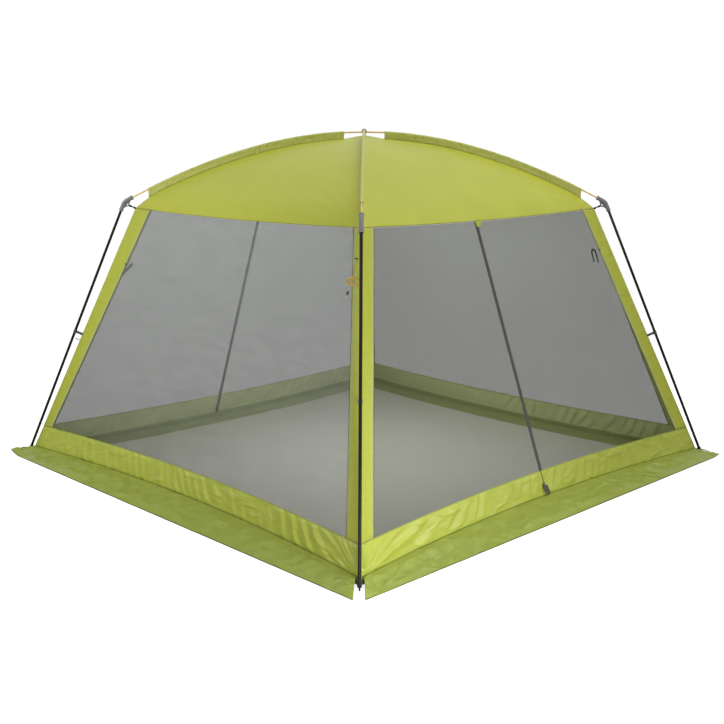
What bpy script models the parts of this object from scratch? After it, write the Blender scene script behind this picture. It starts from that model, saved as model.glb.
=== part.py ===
"""Square camping gazebo with net walls: four leaning steel legs, two crossed roof poles and a sewn fabric shelter.

Metres, +Z up, origin on the ground under the crown. The front wall faces -Y. The doors are in the front and back walls.
"""
import math

import bmesh
import bpy
import numpy as np
from mathutils import Matrix, Vector

# Frame
FOOT_SPACING = 3.500          # between the centres of neighbouring feet
BEND_SPACING = 2.387          # between the bends of neighbouring elbows
BEND_HEIGHT = 1.835
CROWN_HEIGHT = 2.320          # where the roof poles cross
POLE_FLATTEN = 0.10           # how much straighter the poles run near their ends
POLE_RADIUS = 0.0055
FERRULE_RADIUS = 0.0070
FERRULE_LENGTH = 0.060
FERRULE_REACH = 0.60          # from the crown to the joint of a pole's two lengths
LEG_RADIUS = 0.0095
LEG_WALL = 0.0010
LEG_JOINT_DISTANCE = 1.020    # from the ground to the joint of a leg's two lengths
SWAGE_LENGTH = 0.060
SWAGE_CLEARANCE = 0.0003
FIT = 0.0003                  # gap between pieces that touch

# Elbows
ELBOW_ARM = 0.066             # from the bend to each mouth
ELBOW_RADIUS = 0.0140
ELBOW_BEND_RUN = 0.022        # from the bend's corner to where its curve starts
COLLAR_RADIUS = 0.0160
COLLAR_LENGTH = 0.008
LEG_SOCKET_DEPTH = 0.052
POLE_SOCKET_DEPTH = 0.050
WEB_THICKNESS = 0.009
WEB_REACH = 0.058             # along each arm
EYELET_DISTANCE = 0.032       # from the bend to the eyelet
EYELET_RADIUS = 0.0065
EYELET_RIM = 0.0065

# Feet
CAP_RADIUS = 0.0125
CAP_DEPTH = 0.034             # of leg inside the cap
CAP_FLOOR = 0.010
TIP_RADIUS = 0.0050
TIP_LENGTH = 0.013

# Fabric shell
SHEET = 0.0015                # thickness of every sheet
SEAM_GAP = 0.0003
GROUND_INSET = 0.0170         # from the line of the feet in to the walls, where they would meet the ground
EAVE_INSET = 0.0541           # from the line of the bends in to the walls at the eave
EAVE_DROP = 0.045             # from the bends down to the eave at the corners
EAVE_SAG = 0.018
WALL_BOW = 0.133              # how far the middle of a wall draws in at the ground
BAND_TOP = 0.205
BAND_FOOT = 0.048
STRIP_WIDTHS = {              # at the eave and at the ground, by the wall and the side it is on, seen from outside
    "door": ((0.118, 0.109), (0.150, 0.172)),
    "plain": ((0.190, 0.089), (0.045, 0.140))}
SLEEVE_DROP = 0.050           # from the pole down to the roof seam
SLEEVE_START = 0.140          # from the crown
SLEEVE_STOP = 0.0964          # from the eave's corner back to the sleeve's end
SLEEVE_OUTER = 0.0100
SLEEVE_BORE = 0.0082
SLEEVE_FOOT = 0.0040          # width of the sleeve's seam
APEX_LIFT = 0.020
APEX_SPREAD = 0.100
ROOF_CUTS = 11
SKIRT_WIDTH = 0.127           # from where the walls would meet the ground out to the skirt's edge
SKIRT_TIP_INSET = 0.045       # from the shelter's outer corner to the end of that edge
SKIRT_CUT = 0.029             # from the corner to the skirt's end, at the seam
SKIRT_CURL = 3.5              # how soon the skirt lies flat

# Doors
DOOR_LINES = {"front": (-0.155, 0.085), "back": (-0.010, 0.160)}   # zip's place at the eave and at the ground
TAPE_WIDTH = 0.010
CHAIN_GAP = 0.0026
SLIDER_WIDTH = 0.012
SLIDER_HEIGHT = 0.016
SLIDER_PLATE = 0.0015
SLIDER_CLEARANCE = 0.0008
SLIDER_POST = 0.0014
LOWER_SLIDER_HEIGHT = 0.104
PULL_WIDTH = 0.020
PULL_LENGTH = 0.046
PULL_THICKNESS = 0.0035
PULL_LEAN = math.radians(8)

# Fastenings
CLIP_HEIGHT = 0.900
CLIP_WALL = 0.0036
CLIP_LENGTH = 0.014
CLIP_ARM = (0.006, 0.010)
CLIP_MOUTH = 0.012
HOOK_WIRE = 0.0020
HOOK_HALF_WIDTH = 0.0090
KNOT_RADIUS = 0.0050
KNOT_LENGTH = 0.016
RING_RADIUS = 0.0140
RING_WIRE = 0.0030
RING_OFFSET = 0.0110
TOGGLE_RADIUS = 0.0035
TOGGLE_LENGTH = 0.020
TOGGLE_STANDOFF = 0.0078      # from the cloth to the barrel's middle
TOGGLE_TAB = 0.0040
TOGGLE_INSET = 0.004          # from the strip's inner edge to the tab
ROPE_TOGGLE = (0.033, 0.165)  # from the corner seam, and below the eave
PLAIN_TOGGLE_DROP = 0.381     # below the eave
DOOR_TOGGLE_DROP = 0.278

# Guy rope, put away on the left wall beside the front left corner
ROPE_RADIUS = 0.0015
ROPE_PITCH = 0.0042           # between neighbouring turns of the hank
ROPE_LAYER = 0.0038           # between its two layers
ROPE_STANDOFF = 0.0020        # from the cloth to the middle of the inner layer
OUTER_LOOSENESS = 1.12        # of the outer layer's pitch
HANK_ALONG = 1.165            # along the wall from its middle
HANK_DROP = 0.285             # below the eave
HANK_LENGTH = 0.0340          # half length of the inner turn
HANK_WIDTH = 0.0085           # half width of the inner turn
HANK_WAIST = 0.0035           # how far each side draws in at the middle
HANK_BEND = 0.0420            # radius at which it is bent down over its middle
TURNS_IN_LAYER = 4
POINTS_IN_TURN = 24
ROPE_BEND = 0.006
TAIL_LEAN = math.radians(10)
TAIL_LENGTH = 0.066
TAIL_CURL = 0.012
RUNNER_SIZE = (0.0080, 0.0060, 0.0220)
RUNNER_BORE = 0.0019
RUNNER_PLACE = 0.046          # from the tail's start to the runner's middle

SIDES = ("front", "right", "back", "left")
CORNERS = ("front_left", "front_right", "back_right", "back_left")
ROOT2 = math.sqrt(2.0)

LIME = (0.47, 0.52, 0.075)
OLIVE = (0.26, 0.34, 0.09)
NET_GREY = (0.16, 0.16, 0.16)
STEEL_BLACK = (0.025, 0.024, 0.022)
PLASTIC_GREY = (0.16, 0.155, 0.16)
PLASTIC_BLACK = (0.03, 0.03, 0.03)
POLE_TAN = (0.62, 0.42, 0.16)
ROPE_YELLOW = (0.72, 0.58, 0.16)

for old in list(bpy.data.objects):
    bpy.data.objects.remove(old, do_unlink=True)
gazebo = bpy.data.collections.new("camping_gazebo")
cutters = bpy.data.collections.new("cutters")
bpy.context.scene.collection.children.link(gazebo)
bpy.context.scene.collection.children.link(cutters)


# Materials and objects

def finish(name, colour, roughness, metallic=0.0):
    """A plain material with a piece's own colour."""
    material = bpy.data.materials.new(name)
    material.use_nodes = True
    shader = material.node_tree.nodes["Principled BSDF"]
    shader.inputs["Base Color"].default_value = (*colour, 1.0)
    shader.inputs["Roughness"].default_value = roughness
    shader.inputs["Metallic"].default_value = metallic
    return material


def add(name, mesh, matrix=Matrix()):
    """A named object of the gazebo that shows the mesh at the matrix."""
    obj = bpy.data.objects.new(name, mesh)
    gazebo.objects.link(obj)
    obj.matrix_world = matrix
    return obj


def spread(names, mesh, matrices):
    return [add(name, mesh, matrix) for name, matrix in zip(names, matrices)]


def helper(name, mesh, matrix=Matrix()):
    """An object that only shapes others."""
    obj = bpy.data.objects.new(name, mesh)
    cutters.objects.link(obj)
    obj.matrix_world = matrix
    obj.hide_render = True
    obj.display_type = "WIRE"
    return obj


def hold(children, name, place):
    """Parents moving pieces to an empty on their joint's axis."""
    empty = bpy.data.objects.new(name, None)
    gazebo.objects.link(empty)
    empty.empty_display_size = 0.05
    empty.location = place
    bpy.context.view_layer.update()
    for child in children:
        child.parent = empty
        child.matrix_parent_inverse = empty.matrix_world.inverted()


def baked(obj, name):
    """The object's evaluated mesh in world space, with loose caps welded."""
    bpy.context.view_layer.update()
    graph = bpy.context.evaluated_depsgraph_get()
    mesh = bpy.data.meshes.new_from_object(obj.evaluated_get(graph))
    mesh.transform(obj.matrix_world)
    mesh.name = name
    shape = bmesh.new()
    shape.from_mesh(mesh)
    bmesh.ops.remove_doubles(shape, verts=shape.verts, dist=1e-6)
    shape.to_mesh(mesh)
    shape.free()
    return mesh


def smooth(mesh, angle=40.0):
    mesh.shade_smooth()
    mesh.set_sharp_from_angle(angle=math.radians(angle))
    return mesh


def combined(name, base, cuts=(), unions=()):
    """The base mesh with other meshes joined to it and then cut from it."""
    obj = helper(f"{name}_base", base)
    for operation, meshes in (("UNION", unions), ("DIFFERENCE", cuts)):
        for number, mesh in enumerate(meshes):
            tool = helper(f"{name}_{operation.lower()}_{number}", mesh)
            modifier = obj.modifiers.new(operation.lower(), "BOOLEAN")
            modifier.operation = operation
            modifier.solver = "EXACT"
            modifier.object = tool
    return baked(obj, name)


# Shapes

def box_mesh(name, size, matrix=Matrix()):
    mesh = bpy.data.meshes.new(name)
    shape = bmesh.new()
    bmesh.ops.create_cube(shape, size=1.0, matrix=matrix @ Matrix.Diagonal((*size, 1.0)))
    shape.to_mesh(mesh)
    shape.free()
    return mesh


def rod_mesh(name, radius, start, end, sides=16):
    """A round rod between two points."""
    start, end = Vector(start), Vector(end)
    axis = end - start
    turn = axis.to_track_quat("Z", "Y").to_matrix().to_4x4()
    mesh = bpy.data.meshes.new(name)
    shape = bmesh.new()
    bmesh.ops.create_cone(
        shape, cap_ends=True, segments=sides, radius1=radius, radius2=radius,
        depth=axis.length, matrix=Matrix.Translation((start + end) / 2) @ turn)
    shape.to_mesh(mesh)
    shape.free()
    return mesh


def turned_mesh(name, profile, steps=16):
    """A closed profile of (radius, height) points turned about Z. It runs down its outer side."""
    outline = bpy.data.meshes.new(name)
    points = [(radius, 0.0, height) for radius, height in profile]
    outline.from_pydata(points, [(i, (i + 1) % len(points)) for i in range(len(points))], [])
    obj = helper(f"{name}_profile", outline)
    screw = obj.modifiers.new("turn", "SCREW")
    screw.steps = steps
    screw.render_steps = steps
    screw.use_merge_vertices = True
    screw.merge_threshold = 0.00001
    mesh = baked(obj, name)
    bpy.data.objects.remove(obj, do_unlink=True)
    return mesh


def tube_mesh(name, points, radius, resolution=4, cyclic=False, twist="MINIMUM"):
    """A round tube along points."""
    curve = bpy.data.curves.new(name, "CURVE")
    curve.dimensions = "3D"
    curve.bevel_depth = radius
    curve.bevel_resolution = resolution
    curve.use_fill_caps = not cyclic
    curve.twist_mode = twist
    spline = curve.splines.new("POLY")
    spline.points.add(len(points) - 1)
    for point, place in zip(spline.points, points):
        point.co = (*place, 1.0)
    spline.use_cyclic_u = cyclic
    obj = helper(f"{name}_path", curve)
    mesh = baked(obj, name)
    bpy.data.objects.remove(obj, do_unlink=True)
    return mesh


def plate_mesh(name, outline, thickness, matrix):
    """A flat plate of a closed outline, centred on its plane."""
    curve = bpy.data.curves.new(name, "CURVE")
    curve.dimensions = "2D"
    curve.fill_mode = "BOTH"
    curve.extrude = thickness / 2
    spline = curve.splines.new("POLY")
    spline.points.add(len(outline) - 1)
    for point, (x, y) in zip(spline.points, outline):
        point.co = (x, y, 0.0, 1.0)
    spline.use_cyclic_u = True
    obj = helper(f"{name}_outline", curve, matrix)
    mesh = baked(obj, name)
    bpy.data.objects.remove(obj, do_unlink=True)
    return mesh


def sheet_mesh(name, columns, rows, place):
    """A grid whose points are put where place(across, up) says, both from 0 to 1, given the sheet's thickness."""
    mesh = bpy.data.meshes.new(name)
    shape = bmesh.new()
    bmesh.ops.create_grid(shape, x_segments=columns, y_segments=rows, size=0.5)
    for vertex in shape.verts:
        vertex.co = place(vertex.co.x + 0.5, vertex.co.y + 0.5)
    shape.to_mesh(mesh)
    shape.free()
    mesh.shade_smooth()
    return thickened(mesh, name)


def thickened(mesh, name):
    """The surface with its thickness below or inside it."""
    obj = helper(f"{name}_surface", mesh)
    wall = obj.modifiers.new("thickness", "SOLIDIFY")
    wall.thickness = SHEET
    wall.offset = -1.0
    wall.use_even_offset = True
    solid = baked(obj, name)
    bpy.data.objects.remove(obj, do_unlink=True)
    return solid


def loft_mesh(name, outer, inner):
    """A hollow body between rings of points: outer and inner rings, station by station, joined at both ends."""
    mesh = bpy.data.meshes.new(name)
    shape = bmesh.new()
    skins = [[[shape.verts.new(point) for point in ring] for ring in rings] for rings in (outer, inner)]
    count = len(outer[0])
    for skin, flip in zip(skins, (False, True)):
        for ring, following in zip(skin, skin[1:]):
            for i in range(count):
                j = (i + 1) % count
                corners = [ring[i], ring[j], following[j], following[i]]
                shape.faces.new(corners[::-1] if flip else corners)
    for station, flip in ((0, True), (-1, False)):
        for i in range(count):
            j = (i + 1) % count
            corners = [skins[0][station][i], skins[0][station][j], skins[1][station][j], skins[1][station][i]]
            shape.faces.new(corners[::-1] if flip else corners)
    bmesh.ops.recalc_face_normals(shape, faces=shape.faces)
    shape.to_mesh(mesh)
    shape.free()
    return mesh


# Places shared by the pieces

FOOT_REACH = FOOT_SPACING / ROOT2     # from the centre to a foot, along the diagonal
BEND_REACH = BEND_SPACING / ROOT2
EAVE_HEIGHT = BEND_HEIGHT - EAVE_DROP
EAVE_HALF = BEND_SPACING / 2 - EAVE_INSET
WALL_GROUND_HALF = FOOT_SPACING / 2 - GROUND_INSET
WALL_LEAN = (WALL_GROUND_HALF - EAVE_HALF) / EAVE_HEIGHT    # inward per metre of height
SLEEVE_END = EAVE_HALF * ROOT2 - SLEEVE_STOP
SKIRT_HALF = WALL_GROUND_HALF + SKIRT_WIDTH
SKIRT_TIP = SKIRT_HALF - SKIRT_TIP_INSET
ROPE_TOGGLE_HEIGHT = EAVE_HEIGHT - ROPE_TOGGLE[1]
HANK_HEIGHT = EAVE_HEIGHT - HANK_DROP
ROOF_STEP = EAVE_HALF * ROOT2 / (ROOF_CUTS + 1)
CORNER_TURNS = [Matrix.Rotation(math.radians(225 + 90 * k), 4, "Z") for k in range(4)]
WALL_TURNS = [Matrix.Rotation(math.radians(90 * k), 4, "Z") for k in range(4)]
FOOT_POINT = Vector((FOOT_REACH, 0.0, 0.0))
BEND_POINT = Vector((BEND_REACH, 0.0, BEND_HEIGHT))
LEG_DIRECTION = (BEND_POINT - FOOT_POINT).normalized()
LEG_LEAN = math.atan2(-LEG_DIRECTION.x, LEG_DIRECTION.z)
BEND_DISTANCE = (BEND_POINT - FOOT_POINT).length
LEG_FRAME = Matrix.Translation(FOOT_POINT) @ Matrix.Rotation(-LEG_LEAN, 4, "Y")


def pole_height(reach):
    """Height of a roof pole's centre line at a distance from the crown."""
    share = abs(reach) / BEND_REACH
    fall = (1.0 + POLE_FLATTEN) * share ** 2 - POLE_FLATTEN * share ** 4
    return CROWN_HEIGHT - (CROWN_HEIGHT - BEND_HEIGHT) * fall


def pole_mouth():
    """Distance from the crown at which a pole enters its elbow."""
    reach = BEND_REACH
    while math.hypot(BEND_REACH - reach, pole_height(reach) - BEND_HEIGHT) < ELBOW_ARM:
        reach -= 0.0001
    return reach


POLE_MOUTH = pole_mouth()
MOUTH_POINT = Vector((POLE_MOUTH, 0.0, pole_height(POLE_MOUTH)))
ARM_DIRECTION = (MOUTH_POINT - BEND_POINT).normalized()
EYELET_DIRECTION = (ARM_DIRECTION - LEG_DIRECTION).normalized()
EYELET_POINT = BEND_POINT + EYELET_DIRECTION * EYELET_DISTANCE


def roof_height(reach):
    """Height of the roof seam at a distance from the crown, along a diagonal."""
    tail = max(0.0, (reach - SLEEVE_END + APEX_SPREAD) / (EAVE_HALF * ROOT2 - SLEEVE_END + APEX_SPREAD))
    drop = SLEEVE_DROP + (pole_height(EAVE_HALF * ROOT2) - EAVE_HEIGHT - SLEEVE_DROP) * tail ** 2
    return pole_height(reach) - drop + APEX_LIFT * math.exp(-(reach / APEX_SPREAD) ** 2)


def seam_height(reach):
    """Height of the seam as the roof's cloth has it, straight between its rows."""
    row = min(ROOF_CUTS, int(reach / ROOF_STEP))
    near, far = roof_height(row * ROOF_STEP), roof_height((row + 1) * ROOF_STEP)
    return near + (far - near) * (reach / ROOF_STEP - row)


def eave_height(along):
    return EAVE_HEIGHT - EAVE_SAG * (1.0 - (along / EAVE_HALF) ** 2)


def wall_half(height):
    """Half width of the walls at a height, measured to the corner seams."""
    return WALL_GROUND_HALF - WALL_LEAN * height


def wall_distance(along, height):
    """Distance of the wall's outer face from the centre."""
    half = wall_half(height)
    bow = WALL_BOW * (1.0 - height / EAVE_HEIGHT)
    return half - bow * (1.0 - (along / half) ** 2)


def front_point(along, height, proud=0.0):
    """A point of the front wall's outer face."""
    return Vector((along, -wall_distance(along, height) - proud, height))


def fold_angle():
    """Angle between the roof and the wall where they meet, as the bend of a sheet that is folded there."""
    step = 0.01
    roof_slope = (roof_height((EAVE_HALF - step) * ROOT2) - roof_height(EAVE_HALF * ROOT2)) / step
    wall_slope = 1.0 / (WALL_LEAN - WALL_BOW / EAVE_HEIGHT)
    return math.atan(wall_slope) - math.atan(roof_slope)


EAVE_SETBACK = SHEET * math.sin(fold_angle()) + 2 * SEAM_GAP
CORNER_SETBACK = SHEET * (1.0 + 4 * WALL_BOW / WALL_GROUND_HALF) * math.hypot(1.0, WALL_LEAN) + SEAM_GAP


# Legs

def leg_meshes():
    bore = LEG_RADIUS - LEG_WALL
    start = TIP_LENGTH / math.cos(LEG_LEAN) + CAP_FLOOR + FIT
    top = BEND_DISTANCE - ELBOW_ARM + LEG_SOCKET_DEPTH - FIT
    lower = turned_mesh("leg_lower", [
        (LEG_RADIUS, LEG_JOINT_DISTANCE), (LEG_RADIUS, start), (bore, start), (bore, LEG_JOINT_DISTANCE)])
    swage = bore - SWAGE_CLEARANCE
    shoulder = LEG_JOINT_DISTANCE + FIT
    taper = shoulder + 0.004
    upper = turned_mesh("leg_upper", [
        (LEG_RADIUS, top), (LEG_RADIUS, taper), (swage, shoulder), (swage, LEG_JOINT_DISTANCE - SWAGE_LENGTH),
        (swage - LEG_WALL, LEG_JOINT_DISTANCE - SWAGE_LENGTH), (swage - LEG_WALL, taper), (bore, taper + 0.004),
        (bore, top)])
    return smooth(lower), smooth(upper)


def foot_mesh():
    """A cap over the leg's end, on a steel tip that is cut level with the ground."""
    seat = TIP_LENGTH / math.cos(LEG_LEAN)
    floor = seat + CAP_FLOOR
    bore = LEG_RADIUS + FIT
    mesh = turned_mesh("foot", [
        (CAP_RADIUS, floor + CAP_DEPTH - 0.002), (CAP_RADIUS, seat + 0.003), (CAP_RADIUS - 0.003, seat),
        (TIP_RADIUS, seat), (TIP_RADIUS, -0.010), (0.0, -0.010), (0.0, floor), (bore, floor),
        (bore, floor + CAP_DEPTH), (CAP_RADIUS - 0.001, floor + CAP_DEPTH)])
    mesh.transform(LEG_FRAME)
    shape = bmesh.new()
    shape.from_mesh(mesh)
    everything = shape.verts[:] + shape.edges[:] + shape.faces[:]
    cut = bmesh.ops.bisect_plane(
        shape, geom=everything, plane_co=(0, 0, 0), plane_no=(0, 0, -1), clear_outer=True)
    bmesh.ops.contextual_create(shape, geom=[e for e in cut["geom_cut"] if isinstance(e, bmesh.types.BMEdge)])
    shape.to_mesh(mesh)
    shape.free()
    return smooth(mesh)


# Elbows

def elbow_mesh():
    """A bent socket with a web between its arms, and an eyelet in the web."""
    leg_mouth = BEND_POINT - LEG_DIRECTION * ELBOW_ARM
    pole_end = BEND_POINT + ARM_DIRECTION * ELBOW_ARM
    before = BEND_POINT - LEG_DIRECTION * ELBOW_BEND_RUN
    after = BEND_POINT + ARM_DIRECTION * ELBOW_BEND_RUN
    bend = []
    for k in range(5):
        t = k / 4
        bend.append(before * (1 - t) ** 2 + BEND_POINT * 2 * t * (1 - t) + after * t ** 2)
    body = tube_mesh("elbow_body", [leg_mouth, *bend, pole_end], ELBOW_RADIUS)
    collars = [
        rod_mesh("leg_collar", COLLAR_RADIUS, leg_mouth - LEG_DIRECTION * 0.001,
                 leg_mouth + LEG_DIRECTION * COLLAR_LENGTH),
        rod_mesh("pole_collar", COLLAR_RADIUS, pole_end + ARM_DIRECTION * 0.001,
                 pole_end - ARM_DIRECTION * COLLAR_LENGTH)]
    bores = [
        rod_mesh("leg_bore", LEG_RADIUS + FIT, leg_mouth - LEG_DIRECTION * 0.010,
                 leg_mouth + LEG_DIRECTION * LEG_SOCKET_DEPTH),
        rod_mesh("pole_bore", POLE_RADIUS + FIT, pole_end + ARM_DIRECTION * 0.010,
                 pole_end - ARM_DIRECTION * POLE_SOCKET_DEPTH, sides=12)]
    centre = Vector((EYELET_POINT.x, EYELET_POINT.z))
    outline = [Vector((p.x, p.z)) for p in (BEND_POINT - LEG_DIRECTION * WEB_REACH, BEND_POINT,
                                            BEND_POINT + ARM_DIRECTION * WEB_REACH)]
    middle = math.atan2(EYELET_DIRECTION.z, EYELET_DIRECTION.x)
    for k in range(7):
        angle = middle + math.radians(-72 + 24 * k)
        outline.append(centre + (EYELET_RADIUS + EYELET_RIM) * Vector((math.cos(angle), math.sin(angle))))
    web = plate_mesh("web", outline, WEB_THICKNESS, Matrix.Rotation(math.radians(90), 4, "X"))
    across = Vector((0.0, WEB_THICKNESS, 0.0))
    eyelet = rod_mesh("eyelet", EYELET_RADIUS, EYELET_POINT - across, EYELET_POINT + across)
    return smooth(combined("elbow", body, cuts=[*bores, eyelet], unions=[*collars, web]))


def eave_hook_mesh():
    """A cord loop through the elbow's eyelet, with a knot against the roof's corner."""
    corner = Vector((EAVE_HALF * ROOT2, 0.0, EAVE_HEIGHT))
    outward = (EYELET_POINT - corner).normalized()
    bar = EYELET_POINT - outward * (EYELET_RADIUS - HOOK_WIRE - FIT)
    knot = corner + outward * (KNOT_RADIUS + 2 * FIT)
    side = Vector((0.0, HOOK_HALF_WIDTH, 0.0))
    ease = 0.003
    slant = Vector((0.0, HOOK_HALF_WIDTH - ease, 0.0))
    near = Vector((0.0, KNOT_LENGTH / 4, 0.0))
    loop = [bar + slant, bar - slant, bar - side - outward * ease, knot - side * 0.8 + outward * 0.016,
            knot - near, knot + near, knot + side * 0.8 + outward * 0.016, bar + side - outward * ease]
    wire = tube_mesh("hook_wire", loop, HOOK_WIRE, resolution=2, cyclic=True)
    half = Vector((0.0, KNOT_LENGTH / 2, 0.0))
    ball = rod_mesh("knot", KNOT_RADIUS, knot - half, knot + half, sides=10)
    return smooth(combined("eave_hook", wire, unions=[ball]))


# Roof poles and their sleeves

def pole_rise(level, reach):
    """How far a pole runs above or below the mean line, to pass the other one at the crown."""
    share = min(1.0, abs(reach) / BEND_REACH)
    return level * (POLE_RADIUS + FIT / 2) * (1.0 - share ** 2) ** 2


def pole_point(reach, level):
    return Vector((reach, 0.0, pole_height(reach) + pole_rise(level, reach)))


SLEEVE_STATIONS = [SLEEVE_START, *(ROOF_STEP * k for k in range(2, ROOF_CUTS + 1)), SLEEVE_END]


def pole_path(start, end, level):
    """Points of a pole's centre line between two distances, negative ones beyond the crown."""
    marks = {0.0, start, end}
    for mark in (*SLEEVE_STATIONS, POLE_MOUTH):
        marks.update({mark, -mark})
    return [pole_point(mark, level) for mark in sorted(marks) if start <= mark <= end]


def pole_meshes(level):
    """The long and the short length of one pole. The long one carries the ferrule."""
    seat = POLE_SOCKET_DEPTH - FIT
    ends = []
    for side in (-1, 1):
        mouth = pole_point(side * POLE_MOUTH, level)
        ends.append(mouth - Vector((side * ARM_DIRECTION.x, 0.0, ARM_DIRECTION.z)) * seat)
    long_points = [ends[0], *pole_path(-POLE_MOUTH, FERRULE_REACH, level)]
    short_points = [*pole_path(FERRULE_REACH + FIT, POLE_MOUTH, level), ends[1]]
    long_rod = tube_mesh("pole_long", long_points, POLE_RADIUS)
    short_rod = tube_mesh("pole_short", short_points, POLE_RADIUS)
    half = FERRULE_LENGTH / 2
    around = [pole_point(FERRULE_REACH + shift, level) for shift in (-half, 0.0, half)]
    ferrule = tube_mesh("ferrule", around, FERRULE_RADIUS)
    bore = tube_mesh("ferrule_bore", [pole_point(FERRULE_REACH + FIT / 2, level), *short_points[1:2],
                                      pole_point(FERRULE_REACH + half * 3, level)], POLE_RADIUS + FIT)
    shaft = combined("pole_and_ferrule", long_rod, unions=[ferrule])
    return smooth(combined("pole_long", shaft, cuts=[bore])), smooth(short_rod)


def sleeve_mesh(level):
    """A fabric tunnel round a pole, drawn in to the seam below it."""
    outer, inner = [], []
    lip = math.radians(205)
    count = 12
    for reach in SLEEVE_STATIONS:
        centre = pole_point(reach, level)
        foot = seam_height(reach) + SEAM_GAP
        ring, bore = [], []
        for k in range(count - 2):
            angle = math.radians(90) + lip * (0.5 - k / (count - 3))
            ring.append(centre + SLEEVE_OUTER * Vector((0.0, math.cos(angle), math.sin(angle))))
            bore.append(math.radians(90) + math.radians(230) * (0.5 - k / (count - 3)))
        ring.append(Vector((reach, SLEEVE_FOOT / 2, foot)))
        ring.append(Vector((reach, -SLEEVE_FOOT / 2, foot)))
        bore += [math.radians(-65), math.radians(-115)]
        outer.append(ring)
        inner.append([centre + SLEEVE_BORE * Vector((0.0, math.cos(a), math.sin(a))) for a in bore])
    return smooth(loft_mesh("pole_sleeve", outer, inner), 60.0)


# Roof

def roof_mesh():
    """Four gores between the diagonal seams, as nested squares that rise to the crown."""
    mesh = bpy.data.meshes.new("roof")
    shape = bmesh.new()
    quarter = Matrix.Rotation(math.radians(45), 4, "Z")
    bmesh.ops.create_circle(shape, cap_ends=True, cap_tris=True, segments=4,
                            radius=EAVE_HALF * ROOT2, matrix=quarter)
    bmesh.ops.subdivide_edges(shape, edges=shape.edges[:], cuts=ROOF_CUTS, use_grid_fill=True)
    for vertex in shape.verts:
        near, far = sorted((abs(vertex.co.x), abs(vertex.co.y)))
        share = near / far if far > 1e-6 else 1.0
        sag = EAVE_SAG * (1.0 - share ** 2) * (far / EAVE_HALF) ** 4
        vertex.co.z = roof_height(far * ROOT2) - sag
    bmesh.ops.recalc_face_normals(shape, faces=shape.faces)
    if sum(face.normal.z for face in shape.faces) < 0:
        bmesh.ops.reverse_faces(shape, faces=shape.faces)
    shape.to_mesh(mesh)
    shape.free()
    return smooth(thickened(mesh, "roof_canopy"), 25.0)


def apex_tie_mesh():
    """Two rings over the upper pole, on a strap that draws the roof up to the crossing."""
    pole = pole_point(0.0, 1.0)
    hang = pole.z + POLE_RADIUS + FIT - (RING_RADIUS - RING_WIRE)
    rings = []
    for side in (-1, 1):
        loop = []
        for k in range(14):
            angle = math.radians(360 / 14 * k)
            loop.append((side * RING_OFFSET, RING_RADIUS * math.cos(angle), hang + RING_RADIUS * math.sin(angle)))
        rings.append(tube_mesh(f"ring_{side}", loop, RING_WIRE, resolution=2, cyclic=True))
    foot = roof_height(0.0) + SEAM_GAP
    top = hang - RING_RADIUS + 0.0005
    strap = box_mesh("strap", (2 * (RING_OFFSET + RING_WIRE), 2 * RING_WIRE, top - foot),
                     Matrix.Translation((0.0, 0.0, (top + foot) / 2)))
    return smooth(combined("apex_tie", strap, unions=rings))


# Walls

def between(low, high, share):
    return low + (high - low) * share


def wall_row(left, right, foot, top, share, up):
    """A place on the wall between two edge lines and two heights, where the top is the eave if it is None."""
    height = between(foot, EAVE_HEIGHT if top is None else top, up)
    along = between(left(height), right(height), share)
    for _ in range(3):
        roof = eave_height(along) - EAVE_SETBACK if top is None else top
        height = between(foot, roof, up)
        along = between(left(height), right(height), share)
    return along, height


def wall_sheet(name, columns, rows, left, right, foot, top):
    def place(share, up):
        return front_point(*wall_row(left, right, foot, top, share, up))
    return sheet_mesh(name, columns, rows, place)


def strip_width(kind, hand, height):
    """Width of a corner strip on a wall, for its left (-1) or right (1) side."""
    top, foot = STRIP_WIDTHS[kind][0 if hand < 0 else 1]
    return between(foot, top, height / EAVE_HEIGHT)


def strip_edge(kind, hand):
    """The line where a net meets the corner strip."""
    return lambda height: hand * (wall_half(height) - strip_width(kind, hand, height) - SEAM_GAP)


def door_line(side, offset=0.0):
    top, foot = DOOR_LINES[side]
    return lambda height: between(foot, top, height / EAVE_HEIGHT) + offset


def strip_mesh(name, kinds, toggles):
    """An L of cloth round the corner seam that lies along +X, with its leg clip and toggles."""
    turn = Matrix.Rotation(math.radians(-45), 4, "Z")

    def place(across, up):
        hand = 1 if across < 0.5 else -1
        share = abs(across - 0.5) * 2
        height, roof = 0.0, EAVE_HEIGHT
        for _ in range(3):
            height = between(BAND_TOP + SEAM_GAP, roof - EAVE_SETBACK, up)
            along = wall_half(height) - strip_width(kinds[hand], hand, height) * share
            roof = eave_height(along)
        distance = wall_distance(along, height)
        return turn @ Vector((distance, along, height) if hand > 0 else (along, distance, height))

    sheet = sheet_mesh(name, 2, 7, place)
    fittings = [toggle_mesh(*toggle) for toggle in toggles]
    return smooth(combined(name, sheet, unions=[leg_clip_mesh(), *fittings]))


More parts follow.
